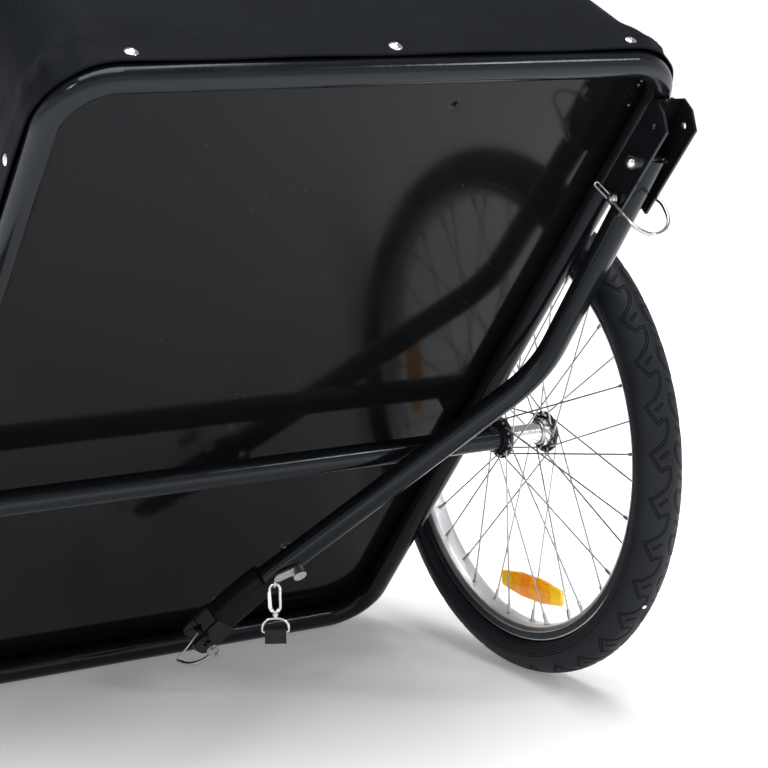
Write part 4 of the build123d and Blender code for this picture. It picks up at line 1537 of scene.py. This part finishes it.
    def build_stitches(self) -> None:
        """Rows of stitches along the hem, up the corner seams and along the flap."""
        count = round(self.perimeter(self.bottom) / self.stitch_pitch)
        turn, step = np.arange(count) / count, 0.62 / count
        rows = [
            self.stitch_row(self.surface, turn, np.full(count, height), (step, 0.0), 0.75 * MM)
            for height in (self.bottom + 3 * MM, self.hem_top - 2.6 * MM)
        ]
        height = np.arange(self.hem_top + 6 * MM, self.flap_bottom, self.stitch_pitch)
        for seam in self.seam_turns():
            for beside in (-0.0011, 0.0011):
                line = np.full(len(height), seam + beside)
                rows.append(self.stitch_row(self.surface, line, height, (0.0, 2.9 * MM), 0.72 * MM))
        level = np.full(count, self.flap_bottom + self.binding)
        rows.append(self.stitch_row(self.ring, turn, level, (step, 0.0), self.flap_off + 1.5 * MM))
        make_level("box_stitches", rows, Finish.THREAD, "chassis", "side_fabric", weld=False)

    def stitch_row(
        self, cloth: Callable, turn: Array, height: Array, step: tuple[float, float], lift: float
    ) -> Shape:
        """One row of stitches.

        Args:
            cloth: What gives the cloth's points and the ways out of it: surface or ring.
            turn: Where each stitch starts round the box.
            height: Where it starts in height.
            step: How far it goes round and up.
            lift: How far the thread is off the cloth's middle.

        Returns:
            The stitches.
        """
        start, facing = cloth(turn, height, lift)
        end, _ = cloth(turn + step[0], height + step[1], lift)
        return dashes(start, end, facing)

    def seam_turns(self) -> Array:
        """Where the four corner seams are, as shares of the way round."""
        length = self.perimeter(self.bottom)
        side = (self.front + self.rear - 2 * self.corner) / length
        end = 2 * (self.half - self.corner) / length
        quarter = self.corner * math.pi / 2 / length
        first = end / 2 + quarter / 2
        second = first + quarter + side
        return np.array([first, second, second + quarter + end, 1 - first])

    def build_studs(self) -> None:
        """Press studs along the hem and the flap: domes with a rolled edge and a small dimple."""
        radius = self.stud_radius
        dome = (
            (-1, radius), (0.5, radius), (1.1, radius - 0.3), (1.5, radius - 1.1), (2.4, 0.62 * radius),
            (2.9, 0.38 * radius), (2.85, 0.2 * radius), (2.5, 0.06 * radius),
        )
        spots = [(1, 0, y) for y in (-236, 4, 248)] + [(-1, 0, y) for y in (-242, 0, 242)]
        spots += [(0, side, x) for side in (1, -1) for x in (415, 180, -55, -290)]
        studs = []
        rows = (
            (self.stud_height, self.stand_off + self.hem_depth),
            (self.flap_bottom + 20 * MM, self.flap_off),
        )
        for height, off in rows:
            share = self.share(height)
            front, rear, half = self.reach(height)
            for ahead, left, along in spots:
                if ahead:
                    reach = front if ahead > 0 else rear
                    place = (ahead * (reach + off), along * MM * (1 - 0.1 * share), height)
                else:
                    place = (along * MM * (1 - 0.12 * share), left * (half + off), height)
                lean = (self.nose_in if ahead > 0 else self.side_in) / (self.top - self.bottom)
                studs.append(round_solid(dome, 20, np.array(place), (ahead, left, lean)))
        make_level("press_studs", studs, Finish.STUD, "chassis", "nickel", crease=60)


# -------------------------------------------------------------------- hardware
@dataclass
class TowHardware:
    """The tow arm's lock pin, hitch pin and small fittings."""

    pivot: Triple = (0.420, 0.297, -0.008)
    drop: float = 3.2025
    bend: float = 38.6
    straight: float = 281 * MM
    reach: float = 358 * MM
    lock_at: float = 44 * MM
    hitch_at: float = 90 * MM
    droop: float = 8.0
    shaft: float = 3.0
    wire: float = 1.9 * MM
    hang_yaw: float = 60.0

    def __post_init__(self) -> None:
        """Works out the arm's own directions and the places of its end and pins."""
        drop, bend, droop = (math.radians(angle) for angle in (self.drop, self.bend, self.droop))
        self.back = np.array([-math.cos(drop), 0.0, -math.sin(drop)])
        self.down = np.array([math.sin(drop), 0.0, -math.cos(drop)])
        self.way = self.back * math.cos(bend) - math.sin(bend) * LEFT
        self.aside = np.cross(self.down, self.way)
        start = np.array(self.pivot)
        self.end = start + self.back * (self.straight + self.reach * math.cos(bend))
        self.end[1] -= self.reach * math.sin(bend)
        self.lock = start + self.back * self.lock_at
        self.fork_way = self.way * math.cos(droop) + self.down * math.sin(droop)
        self.fork_down = self.down * math.cos(droop) - self.way * math.sin(droop)
        self.hitch = self.end + self.fork_way * self.hitch_at

    def at(self, way: float, aside: float, down: float) -> Array:
        """A place by its distances in millimetres from the arm's end, along, aside and down."""
        return self.end + (self.way * way + self.aside * aside + self.down * down) * MM

    def build(self) -> None:
        """Makes the pins, the coupler's fittings and the snap hook's gate."""
        self.build_pivot_cap()
        self.build_lock_pin()
        self.build_hitch_pin()
        self.build_fittings()
        self.build_hook_gate()
        self.build_strap_stitches()

    def coil(self, centre: Array, axis: Array, radius: float, length: float, turns: int = 3) -> Array:
        """The middle line of a coil wound round an axis."""
        axis = unit(axis)
        side = unit(np.cross(axis, (0.3, 0.2, 1.0)))
        other = np.cross(axis, side)
        angle = np.linspace(0, math.tau * turns, 18 * turns)[:, None]
        ring = np.cos(angle) * side + np.sin(angle) * other
        return centre + axis * length * angle / angle[-1] + radius * ring

    def build_lock_pin(self) -> None:
        """The pin that locks the arm: shaft, collar, spring coil, finger loop and safety wire."""
        x, _, z = self.lock / MM
        near = np.array([x, 270.0, z]) * MM
        profile = ((0, 2.2), (0.8, 3.8), (3, 3.8), (3.6, self.shaft), (58, self.shaft), (59.5, 1.6))
        loop = rounded(((-2.4, 0), (2.4, 0), (2.4, 24), (-2.4, 24)), 2.6, 6) * MM
        flat = near + np.array([0.0, 3.0 * MM, -3 * MM])
        loop_side, loop_way = unit(np.array([[1.0, 0.3, 0.0], [0.05, -0.3, 0.95]]))
        finger = flat + loop[:, :1] * loop_side + loop[:, 1:] * loop_way
        knots = (
            (0, 273, -14), (0, 274.5, -24), (0, 276, -33), (0, 280, -48), (0, 293, -58.5), (0, 309, -55),
            (0, 321.5, -42.5), (0, 326, -24), (0, 323, -14.5), (0, 322, -10.5),
        )
        wire = smooth_line([(x + dx, y, z_at) for dx, y, z_at in knots]) * MM
        shapes = [
            round_solid(profile, 24, near, LEFT),
            tube(finger, 1.0 * MM, 8, closed=True),
            tube(self.coil(near + 2.5 * MM * LEFT, LEFT, 4.6 * MM, 5 * MM), 1.1 * MM, 8),
            tube(wire, self.wire, 10, reference=(0.97, 0.1, 0.2)),
        ]
        make_level("lock_pin", shapes, Finish.SPRING, "chassis", "zinc")

    def build_pivot_cap(self) -> None:
        """The domed cap on the pivot bolt's inner head."""
        x, _, z = self.pivot
        dome = ((-0.5, 5.0), (1.4, 5.0), (2.6, 4.3), (3.8, 2.4), (4.1, 0.3))
        cap = round_solid(dome, 24, np.array([x, box_of("pivot_bolt")[0, 1], z]), -LEFT)
        make_level("pivot_cap", [cap], Finish.NICKEL, "chassis", "zinc")

    def build_hitch_pin(self) -> None:
        """The pin through the hitch fork, with its spring clip."""
        head = self.hitch + self.fork_down * 20 * MM
        profile = ((-3, 2.0), (-2.4, 4.6), (2.4, 4.6), (3, self.shaft), (40, self.shaft), (41.5, 1.8))
        knots = (
            (0, 1.5), (12, 1.0), (22, -1.5), (32, -7.0), (38, -14.5), (39.5, -19), (24, -24), (8, -30),
            (4, -34),
        )
        wire = smooth_line([head + (self.way * a + self.down * (b + 1) + self.aside) * MM for a, b in knots])
        shapes = [
            round_solid(profile, 24, head, -self.fork_down),
            tube(self.coil(head + self.fork_down * 4 * MM, -self.fork_down, 5.4 * MM, 6.5 * MM), 1.2 * MM, 8),
            tube(wire, (0.9 + 1.5 * (1 - ease(np.linspace(-0.6, 1.4, len(wire))))) * MM, 10),
        ]
        make_level("hitch_pin", shapes, Finish.SPRING, "tow_arm", "zinc")

    def build_fittings(self) -> None:
        """The tip and nut of the coupler's through bolt, and the fork's rivets."""
        nut = [(4.4 * MM * math.cos(a), 4.4 * MM * math.sin(a)) for a in np.arange(6) * math.pi / 3]
        middle = self.at(60, 0, 2)
        tip = ((0, 2.4), (3, 2.4), (3.6, 1.6))
        shapes = [
            plate(rounded(nut, 0.5 * MM, 3), 4 * MM, middle - self.down * 15.5 * MM, self.way, self.aside),
            round_solid(tip, 16, middle - self.down * 17 * MM, -self.down),
        ]
        dome = ((-1.0, 2.2), (0.3, 2.2), (1.1, 1.4), (1.3, 0.2))
        for way, aside in ((73, -7.5), (76, 3.5)):
            shapes.append(round_solid(dome, 14, self.at(way, aside, 17), self.down))
        make_level("coupler_fittings", shapes, Finish.ZINC, "tow_arm", "zinc")

    def hang_ways(self) -> tuple[Array, Array]:
        """The level ways across the hanging hook and out of its back."""
        yaw = math.radians(self.hang_yaw)
        return np.array([math.cos(yaw), math.sin(yaw), 0.0]), np.array([-math.sin(yaw), math.cos(yaw), 0.0])

    def build_hook_gate(self) -> None:
        """The snap hook's sprung leaf gate and its rivets, hung plumb in the rest pose."""
        low, high = box_of("snap_hook")
        side, out = self.hang_ways()
        top = np.array([*(low + high)[:2] / 2, high[2]])
        leaf = rounded(((-2.2, -27), (1.8, -28), (0.6, -10), (-2.6, -9)), 1.2, 4) * MM
        rivet = ((-3.1, 1.9), (3.1, 1.9), (3.4, 1.2))
        shapes = [plate(leaf, 3.9 * MM, top - side * 4.6 * MM, side, UP)]
        for across in (-3.2, 3.4):
            shapes.append(round_solid(rivet, 14, top + side * across * MM - UP * 28.5 * MM, out))
        collar = ((0, 2.6), (0.5, 3.4), (2.2, 3.4), (2.7, 2.6))
        shapes.append(round_solid(collar, 18, top - UP * 34.5 * MM, UP))
        make_piece("hook_gate", Shape.join(shapes), Finish.NICKEL, "tow_arm", "nickel")

    def build_strap_stitches(self) -> None:
        """A boxed row of stitches across the hook's strap."""
        centre = box_of("hook_strap").mean(0)
        side, out = self.hang_ways()
        across = np.arange(-9, 9, 3.2)[:, None] * MM
        shapes = []
        for drop in (-3.5, -6.0):
            start = centre - out * 3.4 * MM + side * across + UP * drop * MM
            facing = np.broadcast_to(-out, start.shape)
            shapes.append(dashes(start, start + side * 2.2 * MM, facing, 0.3 * MM))
        make_piece("strap_stitches", Shape.join(shapes), Finish.THREAD, "tow_arm", "webbing")


@dataclass
class FrameHardware:
    """Screws and welds on the frame and the floor panel."""

    underside: float = 37.5 * MM
    screws: Pairs = ((478.2, 283.4), (473.3, 282.5), (448.3, 284.0), (463.7, 305.9))
    rail_line: float = 297 * MM
    weld_height: float = 13.2 * MM
    weld_ends: tuple[float, float] = (368 * MM, 478 * MM)
    weld_steps: int = 111

    def build(self) -> None:
        """Makes the panel's screws and the welds between the rail and the tow channel."""
        dome = ((-0.6, 1.8), (0.1, 1.8), (0.8, 1.3), (1.1, 0.6), (1.15, 0.1))
        spots = [(x * MM, y * MM) for x, y in self.screws]
        screws = [round_solid(dome, 16, np.array([x, y, self.underside]), (0, 0, -1)) for x, y in spots]
        make_level("panel_screws", screws, Finish.SCREW, "chassis", "zinc")
        along = np.linspace(*self.weld_ends, self.weld_steps)
        bead = (2.1 + 0.35 * np.abs(np.sin(np.arange(self.weld_steps) * 0.9))) * MM
        welds = []
        for aside in (-7.5 * MM, 7.5 * MM):
            path = np.stack(np.broadcast_arrays(along, self.rail_line + aside, self.weld_height), -1)
            welds.append(tube(path, bead, 10))
        make_level("channel_welds", welds, Finish.PAINT, "chassis", "frame_paint")


# ----------------------------------------------------------------------- stage
@dataclass
class Studio:
    """Pale floor, soft lights and the camera."""

    azimuth: float = 59.625
    elevation: float = 8.316
    roll: float = 0.821
    distance: float = 2.1634
    right: float = 0.17366
    above: float = -0.03167
    lens: float = 101.34
    sensor: float = 36.0
    shift: tuple[float, float] = (0.02794, -0.06756)
    floor_reach: float = 14.0
    horizon: float = 1.0
    zenith: float = 0.28
    grey_between: tuple[float, float] = (0.17, 0.5)
    lamp_target: Triple = (0.0, 0.0, 0.4)
    lights: tuple[tuple[str, Triple, float, float], ...] = (
        ("overhead", (0.6, -0.2, 3.6), 3.2, 190.0),
        ("strobe_left", (1.6, -2.6, 2.4), 0.5, 15.0),
        ("strobe_right", (2.4, 1.9, 2.2), 0.45, 13.0),
    )

    def build(self) -> None:
        """Makes the floor, the lights and the camera."""
        self.build_floor()
        self.build_surround()
        self.build_lights()
        self.build_camera()

    def build_floor(self) -> None:
        """A wide flat floor at height 0."""
        reach = np.linspace(-self.floor_reach, self.floor_reach, 9)
        x, y = np.meshgrid(reach, reach)
        shape = Shape.grid(np.stack([x, y, np.zeros_like(x)], -1))
        make_piece("studio_floor", shape, Finish.STAGE, None, outward=False)

    def build_surround(self) -> None:
        """A surround that is white at the horizon and grey overhead."""
        world = bpy.data.worlds.new("studio")
        world.use_nodes = True
        tree = world.node_tree
        background = next(n for n in tree.nodes if n.type == "BACKGROUND")
        background.inputs["Color"].default_value = (1.0, 1.0, 1.0, 1.0)
        split = tree.nodes.new("ShaderNodeSeparateXYZ")
        tree.links.new(tree.nodes.new("ShaderNodeTexCoord").outputs["Generated"], split.inputs[0])
        fall = tree.nodes.new("ShaderNodeMapRange")
        fall.interpolation_type = "SMOOTHSTEP"
        for socket, value in zip(fall.inputs[1:5], (*self.grey_between, self.horizon, self.zenith)):
            socket.default_value = value
        tree.links.new(split.outputs[2], fall.inputs[0])
        tree.links.new(fall.outputs[0], background.inputs["Strength"])
        bpy.context.scene.world = world

    def build_lights(self) -> None:
        """Wide soft lamps aimed at the trailer."""
        for name, place, size, power in self.lights:
            lamp = bpy.data.lights.new(name, "AREA")
            lamp.shape = "SQUARE"
            lamp.size = size
            lamp.energy = power
            linked(name, lamp).matrix_world = looking(place, np.subtract(self.lamp_target, place))

    def build_camera(self) -> None:
        """The camera, placed from the middle of the trailer's box."""
        low, high = np.array(CAD_BOX)
        a, e = math.radians(self.azimuth), math.radians(self.elevation)
        back = np.array([math.sin(a) * math.cos(e), -math.cos(a) * math.cos(e), math.sin(e)])
        turn = looking((0.0, 0.0, 0.0), -back, math.radians(self.roll))
        basis = np.array(turn)[:3, :3]
        place = (low + high) / 2 + back * self.distance + basis[:, 0] * self.right + basis[:, 1] * self.above
        camera = bpy.data.cameras.new("camera")
        camera.sensor_width = self.sensor
        camera.lens = self.lens
        camera.shift_x, camera.shift_y = self.shift
        camera.clip_end = 100.0
        turn.translation = place
        bpy.context.scene.camera = linked("camera", camera)
        bpy.context.scene.camera.matrix_world = turn
        bpy.context.scene.view_settings.view_transform = "Standard"


def looking(place: Sequence[float], way: Array, roll: float = 0.0) -> Matrix:
    """A camera or lamp at place, looking along way.

    Args:
        place: Its location.
        way: The direction that it looks in.
        roll: How far it is turned about that direction, in radians.

    Returns:
        Its 4x4 matrix.
    """
    forward = unit(np.asarray(way, float))
    side = unit(np.cross(forward, UP))
    up = np.cross(side, forward)
    turned_side = side * math.cos(roll) - up * math.sin(roll)
    turned_up = up * math.cos(roll) + side * math.sin(roll)
    matrix = np.eye(4)
    matrix[:3, 0], matrix[:3, 1], matrix[:3, 2], matrix[:3, 3] = turned_side, turned_up, -forward, place
    return Matrix(matrix)


PANEL_DENT = np.array([454.7, 91.5, 37.5]) * MM
DRESSED = {
    Finish.PAINT: (
        "front_rail", "rear_rail", "left_rail", "right_rail", "axle_tube", "tow_channel", "tow_arm",
        "hitch_fork", "axle_saddle_left", "axle_saddle_right", "hoop_front", "hoop_rear",
        "top_bar_left", "top_bar_right",
    ),
    Finish.NYLON: ("axle_bushing_left", "axle_bushing_right"),
    Finish.ZINC: ("axle_pin_left", "axle_pin_right", "pivot_bolt", "end_bolt"),
    Finish.NICKEL: ("hook_tab", "snap_hook", "swivel_ring"),
    Finish.COUPLER: ("flex_coupler",),
    Finish.WEBBING: ("hook_strap",),
}


def main() -> None:
    """Builds the trailer's pieces in order, then the studio."""
    logging.basicConfig(level=logging.INFO, format="%(name)s: %(message)s")
    for side in (1, -1):
        Wheel(side).build()
    LoadBox().build()
    TowHardware().build()
    FrameHardware().build()
    Studio().build()
    dress(["floor_panel"], GlossPanel(dent=tuple(REST.place(PANEL_DENT))))
    for finish, nodes in DRESSED.items():
        dress(nodes, finish)


if __name__ == "__main__":
    main()
